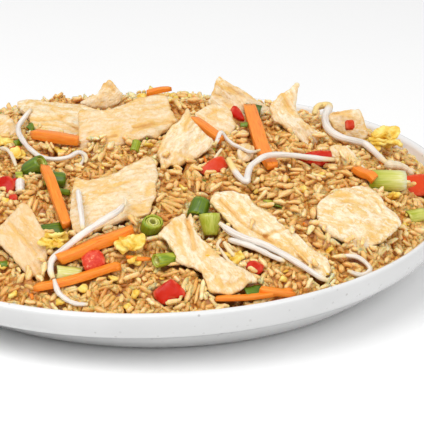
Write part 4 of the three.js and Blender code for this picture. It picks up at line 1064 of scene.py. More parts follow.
# ------------------------------------------------------------------ carrot strips and bean sprouts
CARROT = {
    # name: width, height, route of [x, y, height above the dome]
    "back_left": (4.6, 4.2, [[-52, -19, 5], [-41, -25, 5], [-31, -30, 5]]),
    "left": (4.4, 3.4, [[-44, -55, 3], [-37, -77, 2.5], [-31, -96, 2]]),
    "front_long": (4.8, 4.2, [[-3, -99.5, 2.3], [-16, -107, 3.2], [-33, -114, 3]]),
    "front_low": (3.4, 3, [[-42, -123, 2], [-26, -122, 3], [-8, -116, 2]]),
    "middle": (4.6, 3.2, [[20, -11, 9], [26, -20, 8], [33, -30, 7]]),
    "back_broad": (6.4, 3.2, [[46, 20, 6], [49, -4, 4], [52, -27, 3], [56, -43, 1.5]]),
    "front_rim": (2.7, 2.0, [[32, -128, 1.4], [48, -125, 1.8], [63, -118, 1.8]]),
    "right": (5, 3, [[94, -28, 2.5], [98, -32, 2.4], [102, -36, 2]]),
    "left_side": (4.6, 3.6, [[-104, -2, 2.5], [-92, 8, 3], [-76, 12, 2.5]]),
    "rear": (4.2, 3.4, [[52, 108, 1.2], [66, 104, 1.6], [80, 100, 1.2]]),
}
SPROUT = {
    # name: radius, share of it at the tail, how much of its start is the yellow head, route
    "back_ring": (1.3, 0.7, 0, [
        [-55.8, 5.6, 4.5], [-58.1, 0.8, 4.5], [-60.3, -5.2, 4], [-59.8, -11.7, 4], [-57.4, -19.6, 3.5],
        [-54.4, -27.2, 3], [-51.1, -33.2, 2.6], [-46.9, -39.7, 2.5], [-42.2, -43.1, 2.5], [-38.1, -44.3, 3],
        [-34.2, -43.4, 3.5], [-30.5, -39.8, 4], [-27.6, -42, 4], [-26.3, -46.1, 3.5], [-26.7, -48.8, 2.5]]),
    "left_upright": (1.25, 0.8, 0, [[-27.3, -81.9, 9.5], [-25.8, -91.7, 10], [-24.3, -100.6, 10.2], [-23.5, -107, 10]]),
    "front_long": (1.5, 0.95, 0, [
        [-7.5, -92.9, 9.5], [-9.9, -97.6, 10], [-13.9, -101.5, 10.5], [-21, -106.5, 10], [-26.2, -109, 8.5],
        [-30.2, -110, 6], [-33.5, -111.2, 4.5], [-35.8, -113.4, 4.2], [-36.1, -117.3, 3.8], [-34.7, -121, 2.5]]),
    "front_root": (1.2, 0.7, 0, [
        [-34.1, -123.7, 2.5], [-31.8, -126.6, 2.4], [-28.4, -129.5, 2.2], [-24.6, -131.2, 1.8], [-19.7, -131.4, 1.2]]),
    "right_thick": (1.6, 0.75, 0, [
        [32.7, -99.1, 3.5], [41.5, -99.5, 3.8], [49.9, -101.2, 4], [58.3, -104.1, 4.2], [66.7, -107.1, 3.8],
        [74.2, -109.2, 3], [78.5, -109.8, 2]]),
    "right_thin": (1.4, 0.7, 0, [
        [36.6, -100.4, 2.6], [45.8, -102.3, 2.8], [53.3, -104.7, 2.8], [60.4, -106.5, 2.2]]),
    "middle_bend": (1.5, 0.9, 0.12, [
        [36.1, -47.9, 3], [39.2, -54.6, 3], [42.3, -60.1, 3], [44.3, -62.5, 3], [44.7, -57, 4], [46.2, -49.6, 5],
        [49.3, -46.1, 6.5], [53.3, -42, 7], [59.2, -38.7, 7], [66.9, -35.1, 6], [75.2, -31.3, 5], [84, -27.5, 4]]),
    "middle_curl": (1.0, 0.8, 0.2, [
        [29.4, -37.1, 5], [30.6, -32.6, 6], [33.3, -28.1, 6], [36.9, -29.1, 5.5], [43.6, -34.2, 5], [50.2, -39.7, 5]]),
    "right_loop": (1.95, 0.75, 0.2, [
        [78, 28, 8], [81, 30, 11], [84, 30, 11], [82, 17, 8], [83, 6, 6], [88, 1, 5], [94, 2, 5], [100, 5, 4],
        [105, 0, 3], [110, -9, 3]]),
}
STRIP_EDGE = 0.32
SHOOT_SIDES = 12
UNDER_STRIPS = ("chicken", "red_pepper", "spring_onion", "egg")
HIGH_ABOVE = 200
DOWN, UP = Vector((0, 0, -1)), Vector((0, 0, 1))


def height_below(trees, x, y):
    """The highest of the given shapes at a place, or 0 beside them."""
    hits = [tree.ray_cast(Vector((x, y, HIGH_ABOVE)), DOWN)[0] for tree in trees]
    return max((hit.z for hit in hits if hit is not None), default=0.0)


def route_over(trees, route, half_height, steps, count, stiff=False):
    """A smooth line that rests on whatever the piece crosses at `steps` + 1 places, bending little if stiff."""
    points = np.array(route, float)
    points[:, 2] += dome_height(points[:, 0], points[:, 1]) - back_drop(points[:, 0], points[:, 1])
    line = curve_through(points, steps + 1)
    needed = np.array([max(p[2], height_below(trees, p[0], p[1]) + half_height + GAP) for p in line])
    padded = np.concatenate([needed[:1], needed, needed[-1:]])
    line[:, 2] = np.maximum(needed, (padded[:-2] + padded[1:-1] + padded[2:]) / 3)
    share = np.linspace(0, 1, steps + 1)
    if stiff:
        straight = np.interp(share, [0, 1], line[[0, -1], 2])
        straight += 0.35 * max((line[:, 2] - straight).max(), 0)
        line[:, 2] = straight + 0.25 * (line[:, 2] - straight)
    heights = curve_through(np.stack([share * 100, line[:, 2]], axis=1), count)
    fine = curve_through(points, count)
    fine[:, 2] = np.interp(np.linspace(0, 1, count) * 100, heights[:, 0], heights[:, 1])
    return fine


def sweep(line, section_at, upright):
    """Rings of a section given as [side, up] along a line. A round one is carried along without twisting."""
    rings, side = [], None
    for i, p in enumerate(line):
        along = line[min(i + 1, len(line) - 1)] - line[max(i - 1, 0)]
        along = along / np.linalg.norm(along)
        if upright or side is None:
            side = np.cross([0, 0, 1], along)
        else:
            side = side - along * (side @ along)
        side = side / np.linalg.norm(side)
        up = np.cross(along, side)
        section = section_at(i / (len(line) - 1))
        rings.append(p + section[:, :1] * side + section[:, 1:] * up)
    return rings


def strip_shape(line, width, height, twist, seed):
    """A cut carrot strip: flat sides, narrow rounded edges, slanting ends."""
    w, h = width / 2 - STRIP_EDGE, height / 2 - STRIP_EDGE
    section = np.array([
        (cx + STRIP_EDGE * math.cos(a), cy + STRIP_EDGE * math.sin(a))
        for cx, cy, start in ((w, h, 0), (-w, h, 90), (-w, -h, 180), (w, -h, 270))
        for a in np.radians([start + 8, start + 45, start + 82])
    ])

    def at(t):
        slim = (1 - 0.12 * (2 * t - 1) ** 2) * (1 if 0.0 < t < 1.0 else 0.94)
        turn = math.radians(twist * (t - 0.5))
        c, s = math.cos(turn), math.sin(turn)
        return slim * section @ np.array([[c, s], [-s, c]])

    rings = sweep(line, at, True)
    slant = 0.35 * width
    for ring, way, sign in ((rings[0], line[0] - line[1], 1), (rings[-1], line[-1] - line[-2], -1)):
        way = way / np.linalg.norm(way)
        offset = (ring - ring.mean(0)) @ np.cross([0, 0, 1], way) / width
        ring += (offset * slant * sign)[:, None] * way
    verts = np.vstack([*rings, rings[0].mean(0), rings[-1].mean(0)])
    dents = 0.10 * noise(verts / 4.0 + seed) + 0.05 * noise(verts / 1.2 + seed)
    middle = np.vstack([np.repeat(line, len(section), axis=0), verts[-2:]])
    out = verts - middle
    verts = verts + out / np.maximum(np.linalg.norm(out, axis=1), 0.5)[:, None] * dents[:, None]
    share = np.repeat(np.linspace(0, 1, len(line)), len(section))
    along = np.concatenate([share, [0, 1]]) * path_length(line)
    fibre = np.stack([along + 40 * seed, out[:, 0] + out[:, 1], out[:, 2]], axis=1)
    return verts, ring_faces(len(rings), len(section)), {"fibre": fibre}


def shoot_shape(line, radius, tail, head, seed, sides=SHOOT_SIDES):
    """A bean sprout: fuller near its head, thin at the tail, a little uneven. `head` is its yellow share."""
    angles = np.linspace(0, 2 * math.pi, sides, endpoint=False)
    circle = np.stack([np.cos(angles), 0.92 * np.sin(angles)], axis=1)

    def at(t):
        neck = 0.85 + 0.15 * math.sin(math.pi * min(1, 4 * t + 0.2) / 2)
        ends = min(1.0, 0.45 + 9 * min(t, 1 - t)) ** 0.5
        wave = 1 + 0.06 * math.sin(23 * t + seed) + 0.04 * math.sin(51 * t + 2 * seed)
        return circle * radius * (1 - (1 - tail) * t * t) * neck * ends * wave

    rings = sweep(line, at, False)
    verts = np.vstack([*rings, line[0], line[-1]])
    share = np.concatenate([np.repeat(np.linspace(0, 1, len(line)), sides), [0, 1]])
    around = np.concatenate([np.tile(angles, len(line)), [0, 0]])
    along = share * path_length(line) + 40 * seed
    fibre = np.stack([along, radius * np.cos(around), radius * np.sin(around)], axis=1)
    ends = 0.75 * smoothstep(0.88, 1.0, share) + 0.35 * smoothstep(0.06, 0.0, share)
    if head:
        ends = np.maximum(ends, 0.95 * smoothstep(head, 0.6 * head, share))
    return verts, ring_faces(len(rings), sides), {"fibre": fibre, "ends": ends}


laid = [cad_tree(name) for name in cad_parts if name.startswith(UNDER_STRIPS)]
for k, (name, (width, height, route)) in enumerate(CARROT.items()):
    line = route_over(laid, route, height / 2, 4, 26, stiff=True)
    shape = strip_shape(line, width, height, 14.0 * math.sin(k * 2.1), k + 1.0)
    toppings.append(make_piece(f"strip_{name}", "carrot", *shape, f"carrot_{name}"))
    laid.append(cad_tree(f"carrot_{name}"))
for k, (name, (radius, tail, head, route)) in enumerate(SPROUT.items()):
    steps, count = (5, 28) if len(route) < 5 else (10, 72)
    line = route_over(laid, route, radius, steps, count)
    shape = shoot_shape(line, radius, tail, head, k + 1.0)
    toppings.append(make_piece(f"shoot_{name}", "sprout", *shape, f"bean_sprout_{name}"))
    laid.append(cad_tree(f"bean_sprout_{name}"))

# ------------------------------------------------------------------ the rice's surface
CELL = 0.5  # of the grid on which the pile is kept
EXTENT = 142.0
SIDE = int(2 * EXTENT / CELL)
GRAIN_LIMIT = 137.0  # no grain reaches past this radius
LAYER = 7.2  # how thick the loose grains lie on the core
PITS = [
    # x, y, radius, depth: dark pockets between the toppings, where the grains lie lower, or higher if negative
    (6, -72, 4, 3), (5, -84, 3, 2.5), (-32, -79, 3.5, 2.5), (108, -69, 5, 3), (16, -109, 3, 2), (46, -61, 3, 3),
    (55, -32, 3, 2), (83, -89, 4, 2.5), (73, -89, 3, 2), (66, -83, 3, 2), (-43, -65, 4, 2), (27, -67, 3, 2.5),
    (-7, -129, 4, 1.5), (42, -127, 3, 2.5), (30, -126, 3, 2), (-36, -43, 3, 2), (68, -66, 4, 1.5), (20, -60, 4, 1.5),
    (-14, -112, 3, 2), (-63, 0, 3, 2), (-44, 29, 6, -6), (-10, 28, 4, -5.5), (18, 26, 6, -3.5), (-18, 8, 5, -4.5),
]


def lumps_of(x, y, size, seed):
    """How far each place is from the nearest middle of a lump: 0 to about 0.9, more in the creases between."""
    jitter = np.random.default_rng(seed).uniform(0.1, 0.9, (64, 64, 2))
    u, v = x / size, y / size
    nearest = np.full(x.shape, 9.0)
    for dx, dy in np.ndindex(3, 3):
        i, j = np.floor(u).astype(int) + dx - 1, np.floor(v).astype(int) + dy - 1
        centre = jitter[i % 64, j % 64]
        nearest = np.minimum(nearest, np.hypot(u - i - centre[..., 0], v - j - centre[..., 1]))
    return nearest


def surface_height(x, y):
    """Where the tops of the grains should come to, in lumps with creases between them."""
    at = spots(x.ravel(), y.ravel(), 0.0)
    bend = (2.4 * noise(at / 9.0 + 30)).reshape(x.shape)
    clumps = (2.0 * noise(at / 11.0) + 1.2 * noise(at / 4.6 + 9)).reshape(x.shape)
    apart = lumps_of(x + bend, y - 0.7 * bend, 8.0, 4)
    clumps = clumps + 3.2 * (0.4 - apart**2) - 3.4 * smoothstep(0.60, 0.80, apart)
    inward = smoothstep(HEAP_RADIUS, HEAP_RADIUS - 14, np.hypot(x, y))
    dips = sum(depth * np.exp(-((x - px) ** 2 + (y - py) ** 2) / wide**2) for px, py, wide, depth in PITS)
    dips = dips + back_drop(x, y)
    return dome_height(x, y) + unevenness(x, y) + 0.5 + clumps * (0.25 + 0.75 * inward) - dips * inward


# ------------------------------------------------------------------ where grains may lie
axis = (np.arange(SIDE) + 0.5) * CELL - EXTENT
grid_x, grid_y = np.meshgrid(axis, axis)
grid_r = np.hypot(grid_x, grid_y)
target = surface_height(grid_x, grid_y)
height = target - LAYER
solid_top = np.full((SIDE, SIDE), -np.inf)
ceiling = np.full((SIDE, SIDE), np.inf)


def grid_noise(size, offset, level):
    """Noise at every cell, its lumps about `size` millimetres wide."""
    at = spots(grid_x.ravel() / size + offset, grid_y.ravel() / size + offset, level)
    return noise(at).reshape(grid_x.shape)


def mark_obstacle(obj):
    """Records where a topping stands in the rice, and where one that is raised leaves room below it."""
    verts, faces = mesh_arrays(obj.data)
    tree = tree_of(verts, faces)
    low = np.floor((verts.min(0)[:2] + EXTENT) / CELL).astype(int)
    high = np.ceil((verts.max(0)[:2] + EXTENT) / CELL).astype(int)
    for iy in range(max(low[1], 0), min(high[1] + 1, SIDE)):
        for ix in range(max(low[0], 0), min(high[0] + 1, SIDE)):
            x, y = axis[ix], axis[iy]
            hit = tree.ray_cast(Vector((x, y, HIGH_ABOVE)), DOWN)
            if hit[0] is None:
                continue
            bottom = tree.ray_cast(Vector((x, y, 0)), UP)[0].z
            if bottom < target[iy, ix] + 0.8:
                solid_top[iy, ix] = max(solid_top[iy, ix], hit[0].z)
            else:
                ceiling[iy, ix] = min(ceiling[iy, ix], bottom)


def shifted(values, reach, direction):
    """The grid moved by each number of cells up to `reach` millimetres both ways."""
    steps = round(reach / CELL)
    return [np.roll(values, shift, direction) for shift in range(-steps, steps + 1)]


def widened(values, reach):
    """Each cell with the highest value within `reach` millimetres of it."""
    for direction in (0, 1):
        values = np.max(shifted(values, reach, direction), axis=0)
    return values


def softened(values, reach):
    """A running mean over `reach` millimetres each way."""
    for direction in (0, 1):
        moved = shifted(values, reach, direction)
        values = sum(moved) / len(moved)
    return values


for obj in toppings:
    if obj.name.startswith("slice"):
        mark_obstacle(obj)
slice_top = solid_top.copy()
banked = np.clip(0.6 * (widened(slice_top, 3.5) - target - 1.0), 0, 3.2)
hollow = smoothstep(0.10, 0.50, grid_noise(7.5, 60, 60))
beside = softened((widened(slice_top, 3.0) > target).astype(float), 1.0)
target = target + softened(banked, 2.0) * (1 - hollow) - 2.2 * hollow * beside
for obj in toppings:
    if not obj.name.startswith("slice"):
        mark_obstacle(obj)

# ------------------------------------------------------------------ small toppings
EGG_BITS = [
    # x, y, height above the dome, size
    (-1.6, -112.8, 2, 3.4), (29.3, -112.7, 3, 2.6), (-64.8, -14.6, 3, 4.6), (-57.1, -31.6, 2.5, 3.2),
    (111, -37.5, 3, 3.4), (-31.3, -129, 2, 2.4), (-12, 31, 4, 3.4), (-5, 32.5, 4.5, 3.8), (2.5, 33, 4.5, 3.4),
    (9, 32, 4, 3), (-1.3, -127.6, 2, 2.8), (16.8, -66.9, 3, 2.2), (-3.4, -132.4, 1.6, 2.2), (-21.8, -124.4, 2, 2.4),
    (40.5, -108.5, 2.6, 3.8), (37.5, -106.2, 2.6, 3), (-40.8, -27.6, 2, 2), (-56.7, -107.1, 2, 2), (0.9, -26.2, 3, 2),
    (77.3, -37.9, 2, 2), (96.8, -55, 1.5, 2.2), (-51.5, -121.8, 2, 2.4), (79.8, -91, 2, 2.2), (103.9, 7.9, 4, 3.2),
    (-53.9, -54.1, 2.4, 2.2), (68.6, -57.6, 3, 2.8), (49.2, -80.2, 3, 2), (-38.5, -33.5, 3, 1.8), (107, 4, 3, 2.6),
    (99, 11, 4, 3), (-60, -70, 2, 2.6), (-10, -120, 2, 2.4), (60, -113, 2, 2), (62, -50, 2.5, 2.2),
]
GREEN_BITS = [
    # x, y, height above the dome, length, width, curl, yaw, tilt, roll, green
    (-37.7, -95.5, 2.5, 10, 8, 80, 20, 0, 55, 0.9), (54.4, -70.9, 2, 6, 5, 110, 60, 20, 30, 0.5),
    (47.7, 18.8, 6, 8, 6, 90, -20, 0, 50, 0.92), (48, -122.8, 0.2, 8, 7, 50, 25, 0, 30, 0.9),
    (-5.1, -32.4, 4.2, 5.5, 7, 200, 75, -35, 30, 0.56), (-28.4, -118.1, 3, 10, 8, 120, 10, 10, 40, 0.2),
    (121, -44.7, 3, 9, 8, 120, 30, 0, 40, 0.34), (-54.3, -4.4, 3, 6, 5, 90, 70, 0, 50, 0.86),
    (-55.4, -52.9, 3, 3.4, 3.2, 80, 20, 0, 50, 0.5), (-34.3, -69.2, 2, 5, 4, 120, 30, 20, 40, 0.74),
    (43.4, -1.5, 5, 3.4, 3, 90, 0, 0, 30, 0.8), (-58.9, -19, 2.4, 5, 4, 90, 50, 0, 60, 0.7),
    (-56.3, -107.2, 2, 3, 3, 80, 20, 0, 40, 0.8), (57.5, -73, 2.4, 4, 3.4, 80, 130, 10, 30, 0.84),
]
CARROT_BITS = [
    # width, height, route of [x, y, height above the dome]
    (3.2, 2.4, [[-3, 33, 7], [2, 35, 8], [8, 37, 8.6]]),
    (3.4, 2.6, [[50, -122, 3.4], [57, -121.4, 3.4], [64, -119.5, 2.6]]),
    (1.6, 1.4, [[-5, -112.4, 3], [0.4, -113.4, 3], [5, -113, 2.6]]),
    (2.4, 2, [[-15, -118, 2.2], [-11, -117.2, 2.4], [-7.6, -116.6, 2.2]]),
]
PEPPER_BITS = [
    ((92.9, 5.2, 11.5, 50, -80), 1.0, 0.3, [(-2.2, 1.8), (1.9, 2.3), (2.3, -1.6), (-1.6, -2.2)]),
    ((-59.2, -28.9, 2.6, 40, -90), 1.0, 0.0, [(-3, 1.6), (1.6, 2.4), (3, -1.8), (-1.4, -2.6)]),
    ((-57, -60.5, 3, 40, -90), 1.0, 0.0, [(-3.4, 1.2), (1.2, 3), (3.4, -1.2), (-1.2, -3)]),
    ((-56.4, -68.8, 1.6, 40, -90), 0.6, 0.1, [(-2, 1.2), (1.4, 1.8), (2, -1.2), (-1.2, -1.8)]),
]
SPROUT_BITS = [
    # radius, share at the tail, how yellow, route of [x, y, height above the dome]
    (2.0, 0.9, 0.0, [[-54.5, -58, 3], [-54, -62, 3.2], [-53.6, -67, 2.6]]),
    (1.0, 0.8, 0.3, [[-66.9, -24, 3.4], [-62.8, -28.8, 3.6], [-59.7, -36.9, 3.2], [-57.6, -44.2, 2.6]]),
    (0.7, 0.7, 0.5, [[33.3, -35.4, 6], [30.8, -40.9, 4.6], [28.7, -49.2, 3.4]]),
    (0.8, 0.9, 0.5, [[33.6, -100.7, 3.4], [32.2, -104.1, 3], [34.1, -107.4, 3], [37.1, -111, 2.8], [40.2, -113, 2]]),
    (1.0, 0.9, 0.6, [[34.9, -102.4, 3.6], [36.8, -105.7, 3.4], [39.6, -108.4, 2.8]]),
    (1.1, 0.8, 0.1, [[86, -92, 2], [92, -92, 3.4], [97, -95, 3], [93, -99, 2.2], [87, -100, 2.4]]),
    (1.5, 0.8, 0.9, [[77, 22, 7.5], [78, 26, 10], [80.5, 29, 12]]),
    (2.3, 0.5, 0.4, [[109.1, -11.4, 4.5], [113.5, -8.4, 5], [118.0, -6.2, 5], [122.3, -6.9, 4]]),
    (1.0, 0.8, 0.0, [[-70, -124, 1], [-64, -117, 2], [-60, -112, 2]]),
    (0.8, 0.9, 0.1, [[-29, -39, 4], [-27.5, -44, 3], [-29, -48.5, 2.4]]),
    (0.7, 0.6, 0.4, [[-7.5, -86, 9], [-6.8, -90, 9.4], [-8.2, -95, 8.6]]),
]
FLAKES = [
    ((-70, 2, 3, 35, -100, 0), 5, 0.5, 40, 0.2, 0.2,
     [(-8, 2), (-3, 8), (3, 7), (8, -2), (4, -8), (-4, -7)], [(0.6, 0.7, [(-5, -3), (0, 1), (4, 5)])]),
    ((44, -33, 4, 35, -80, 0), 4, 0.5, 60, 0.25, 0.2,
     [(-3.5, 1), (-1, 5), (2.6, 4), (3.6, -1), (1, -5), (-2.6, -4)], [(0.5, 0.6, [(-1, -3), (0, 1), (1, 4)])]),
    ((-58, 62, 2, 30, 130, 0), 5, 0.5, 10, 0.2, 0.1,
     [(-7, 1), (-2, 6), (5, 5), (8, -1), (2, -5), (-5, -4)], [(0.6, 0.7, [(-5, 0), (0, 1), (6, 1)])]),
    ((60, 62, 2.4, 28, 60, 0), 5, 0.5, 70, 0.2, 0.1,
     [(-5, 2), (-2, 8), (4, 7), (6, -2), (2, -8), (-4, -6)], [(0.6, 0.7, [(-2, -5), (0, 1), (2, 6)])]),
    ((-120, -40, 2, 30, -160, 0), 5, 0.5, 50, 0.2, 0.1,
     [(-5, 2), (-2, 6), (4, 6), (6, -2), (2, -7), (-4, -5)], [(0.6, 0.7, [(-2, -4), (0, 1), (2, 5)])]),
    ((-2, 62, 2.6, 24, 95, 0), 6, 1, 30, 0.2, 0.1,
     [(-12, -3), (-9, 4), (-2, 8), (5, 6), (12, 7), (13, 0), (7, -6), (1, -5), (-6, -8)],
     [(0.8, 0.8, [(-9, -1), (-1, 1), (9, 3)]), (0.5, 0.7, [(-5, -5), (2, -2), (8, -2)])]),
    ((-92, 68, 2.4, 30, 150, 30), 6, 1, -20, 0.16, 0.0,
     [(-11, 2), (-6, 7), (1, 5), (7, 8), (11, 2), (9, -5), (1, -7), (-7, -6)],
     [(0.8, 0.8, [(-7, 1), (0, 0), (8, 2)]), (0.5, 0.7, [(-4, -4), (3, -3), (7, -4)])]),
    ((60, 84, 2.2, 26, 60, -20), 6, 1, 50, 0.18, 0.1,
     [(-9, 5), (-2, 9), (4, 6), (9, 8), (10, -1), (4, -5), (3, -9), (-4, -7), (-8, -2)],
     [(0.8, 0.8, [(-5, 4), (0, 0), (3, -6)]), (0.5, 0.7, [(1, 6), (5, 2), (7, -1)])]),
    ((-66, 72, 2.2, 22, 130, -40), 6, 1, 10, 0.2, 0.2,
     [(-9, 0), (-7, 5), (0, 4), (6, 7), (9, 1), (6, -5), (-2, -6)],
     [(0.7, 0.8, [(-6, 1), (0, 0), (6, 2)])]),
]


def ball(subdivisions):
    """Points and faces of an even unit ball."""
    made = bmesh.new()
    bmesh.ops.create_icosphere(made, subdivisions=subdivisions, radius=1)
    made.verts.index_update()
    points = np.array([v.co[:] for v in made.verts])
    faces = [[v.index for v in f.verts] for f in made.faces]
    made.free()
    return points, faces


def rice_top(x, y):
    """Height of the tops of the grains at a place."""
    return float(target[int((y + EXTENT) / CELL), int((x + EXTENT) / CELL)])


def seat(x, y, lift, size):
    """Height at which a small piece shows above the grains."""
    return max(float(dome_height(x, y)) + lift - 0.8, rice_top(x, y) + 0.15 * size)


def free_spots(count, clearance, wanted):
    """Random places on the rice at least `clearance` from every topping."""
    taken = widened((solid_top > target - 3).astype(float), clearance) > 0
    near_rim = grid_r > GRAIN_LIMIT - 5
    open_cells = np.flatnonzero(~taken & ~near_rim & wanted)
    return [(axis[c % SIDE], axis[c // SIDE]) for c in rng.choice(open_cells, count, replace=False)]


def scrap_shape(length, width, curl):
    """A short piece of a tube's wall along x, hollow side down: points and faces."""
    along, around = 7, 8
    radius = width / curl
    angles = np.linspace(-curl / 2, curl / 2, around)
    arc = np.stack([np.sin(angles), np.cos(angles)], axis=1)
    section = np.vstack([radius * arc, (radius - SCRAP_WALL) * arc[::-1]])
    section[:, 1] -= section[:, 1].mean()
    loop = len(section)
    rings = [np.column_stack([np.full(loop, x), section]) for x in np.linspace(-length / 2, length / 2, along)]
    faces = [face[::-1] for face in ring_faces(along, loop, closed_ends=False)]
    last = (along - 1) * loop
    for i in range(around - 1):
        faces.append([i, i + 1, loop - 2 - i, loop - 1 - i])
        faces.append([last + loop - 1 - i, last + loop - 2 - i, last + i + 1, last + i])
    return np.vstack(rings), faces


WHOLE_HEAP = grid_x < EXTENT
UNSEEN = (grid_y > 45) | (grid_x < -78)  # what the photo cuts off or hides
BALL, BALL_FACES = ball(2)
SCRAP_WALL = 0.7


def add_egg(parts, x, y, z, size):
    """A crumb of egg."""
    shift = rng.uniform(0, 90, 3)
    fold = 0.4 - np.abs(noise(BALL * 1.5 + shift))
    swell = 1 + 0.9 * fold + 0.35 * noise(BALL * 3.1 + shift) + 0.15 * noise(BALL * 7 + shift)
    shape = BALL * swell[:, None] * [size, size * rng.uniform(0.55, 0.9), size * rng.uniform(0.24, 0.42)]
    axes = spun(rng.uniform(-math.pi, math.pi), rng.normal(0, 0.35), rng.normal(0, 0.35))
    parts.add(shape @ axes.T + [x, y, z], BALL_FACES)


def make_egg_bits():
    """Scraps placed from the photo, others where it shows nothing, and crumbs all over."""
    parts = Parts()
    for k, (x, y, lift, size) in enumerate(EGG_BITS):
        for turn in range(2 if size > 3 else 1):
            axes = spun(rng.uniform(-3, 3), rng.normal(0, 0.3), rng.normal(0.25, 0.3))
            shift = rng.normal(0, 0.25 * size, 2) * turn
            place = [x + shift[0], y + shift[1], seat(x, y, lift, size) + 0.5 * turn]
            add_leaf(parts, place, axes, 2.1 * size, 1.5 * size, 300.0 + 5 * k + turn)
    for x, y in free_spots(36, 2.0, UNSEEN):
        size = rng.uniform(1.8, 4.2)
        add_egg(parts, x, y, rice_top(x, y) + 0.15 * size, size)
    for x, y in free_spots(190, 0.5, WHOLE_HEAP):
        size = rng.uniform(0.6, 1.5)
        add_egg(parts, x, y, rice_top(x, y) + rng.uniform(-0.5, 0.5), size)
    return parts.build("egg_bits", "egg")


def add_green(parts, x, y, z, length, width, curl, yaw, tilt, roll, green):
    verts, faces = scrap_shape(length, width, math.radians(curl))
    shift = rng.uniform(0, 90, 3)
    verts = verts + 0.35 * np.stack([noise(verts / 3 + shift + k * 7) for k in range(3)], axis=1)
    axes = spun(*(math.radians(v) for v in (yaw, tilt, roll)))
    attributes = {"fibre": verts + shift, "green": green + 0.10 * noise(verts / 4 + shift)}
    parts.add(verts @ axes.T + [x, y, z], faces, attributes)


def make_green_bits():
    """Scraps of spring onion leaf, placed in the same three ways."""
    parts = Parts()
    for x, y, lift, *rest in GREEN_BITS:
        add_green(parts, x, y, seat(x, y, lift, rest[1] / 2), *rest)
    for x, y in free_spots(22, 3.0, UNSEEN):
        size = rng.uniform(4, 8)
        turn = rng.uniform(-180, 180), rng.normal(0, 15), rng.normal(0, 25)
        curl, green = rng.uniform(90, 170), rng.uniform(0.3, 0.95)
        add_green(parts, x, y, rice_top(x, y) + 0.3, size, size * 0.9, curl, *turn, green)
    for x, y in free_spots(46, 1.0, WHOLE_HEAP):
        size = rng.uniform(1.2, 2.6)
        turn = rng.uniform(-180, 180), rng.normal(0, 25), rng.normal(0, 30)
        add_green(parts, x, y, rice_top(x, y) + 0.1, size, size * 0.8, 70, *turn, rng.uniform(0.5, 0.95))
    return parts.build("onion_bits", "spring_onion")


def small_route(x, y, yaw, length, bend):
    """A short curved route that lies on the rice."""
    steps = np.linspace(-0.5, 0.5, 4)
    px = x + length * steps * math.cos(yaw) - bend * (1 - 4 * steps**2) * math.sin(yaw)
    py = y + length * steps * math.sin(yaw) + bend * (1 - 4 * steps**2) * math.cos(yaw)
    return np.stack([px, py, [rice_top(a, b) for a, b in zip(px, py)]], axis=1)


def seated(route, size):
    """A route of [x, y, height above the dome] with its real heights."""
    return np.array([(x, y, seat(x, y, lift, size)) for x, y, lift in route])


def make_carrot_bits():
    """Short strips and crumbs of carrot."""
    parts = Parts()
    rows = [(width, high, seated(route, high)) for width, high, route in CARROT_BITS]
    for x, y in free_spots(15, 3.0, UNSEEN):
        width = rng.uniform(2.4, 4.2)
        rows.append((width, 0.8 * width, small_route(x, y, rng.uniform(-3, 3), rng.uniform(7, 17), rng.normal(0, 0.5))))
    for x, y in free_spots(16, 1.5, WHOLE_HEAP):
        rows.append((1.3, 1.1, small_route(x, y, rng.uniform(-3, 3), rng.uniform(2, 4), 0.0)))
    for k, (width, high, route) in enumerate(rows):
        parts.add(*strip_shape(curve_through(route, 9), width, high, rng.normal(0, 12), 30.0 + k))
    return parts.build("carrot_bits", "carrot")


def make_sprout_bits():
    """Short sprouts and roots."""
    parts = Parts()
    rows = [(radius, tail, yellow, seated(route, radius)) for radius, tail, yellow, route in SPROUT_BITS]
    for x, y in free_spots(16, 2.5, UNSEEN):
        route = small_route(x, y, rng.uniform(-3, 3), rng.uniform(16, 34), rng.normal(0, 4))
        rows.append((rng.uniform(1.0, 1.6), 0.7, rng.uniform(0, 0.2), route + [0, 0, 0.6]))
    for k, (radius, tail, yellow, route) in enumerate(rows):
        verts, faces, attributes = shoot_shape(curve_through(route, 26), radius, tail, 0, 60.0 + k, 10)
        attributes["ends"] = np.maximum(attributes["ends"], yellow)
        parts.add(verts, faces, attributes)
    return parts.build("sprout_bits", "sprout")


def make_pepper_bits():
    """Small dice of red pepper."""
    parts = Parts()
    rows = list(PEPPER_BITS)
    for x, y in free_spots(14, 3.0, UNSEEN):
        size = rng.uniform(2.0, 4.6)
        corners = [(size * math.cos(a), size * math.sin(a)) for a in np.arange(4) * 1.57 + rng.normal(0, 0.25, 4)]
        facing = math.degrees(math.atan2(y, x))
        rows.append(((x, y, 1.6, rng.uniform(10, 50), facing), 1.0, rng.uniform(0, 0.3), corners))
    for k, row in enumerate(rows):
        parts.add(*dice_shape(row, 200.0 + 9 * k))
    return parts.build("pepper_bits", "pepper")


def make_flakes():
    """Small torn flakes of chicken."""
    parts = Parts()
    for k, spec in enumerate(FLAKES):
        parts.add(*slice_shape(spec, 700.0 + 11 * k, FLAKE_MESH))
    return parts.build("chicken_flakes", "chicken")


for make in (make_flakes, make_pepper_bits, make_carrot_bits, make_egg_bits, make_green_bits, make_sprout_bits):
    mark_obstacle(make())
small = (solid_top > target - 1.4) & (solid_top > slice_top)
ceiling[widened((~small).astype(float), 0.6) == 0] = -np.inf
rice_level = height.copy()
height = np.maximum(height, solid_top)

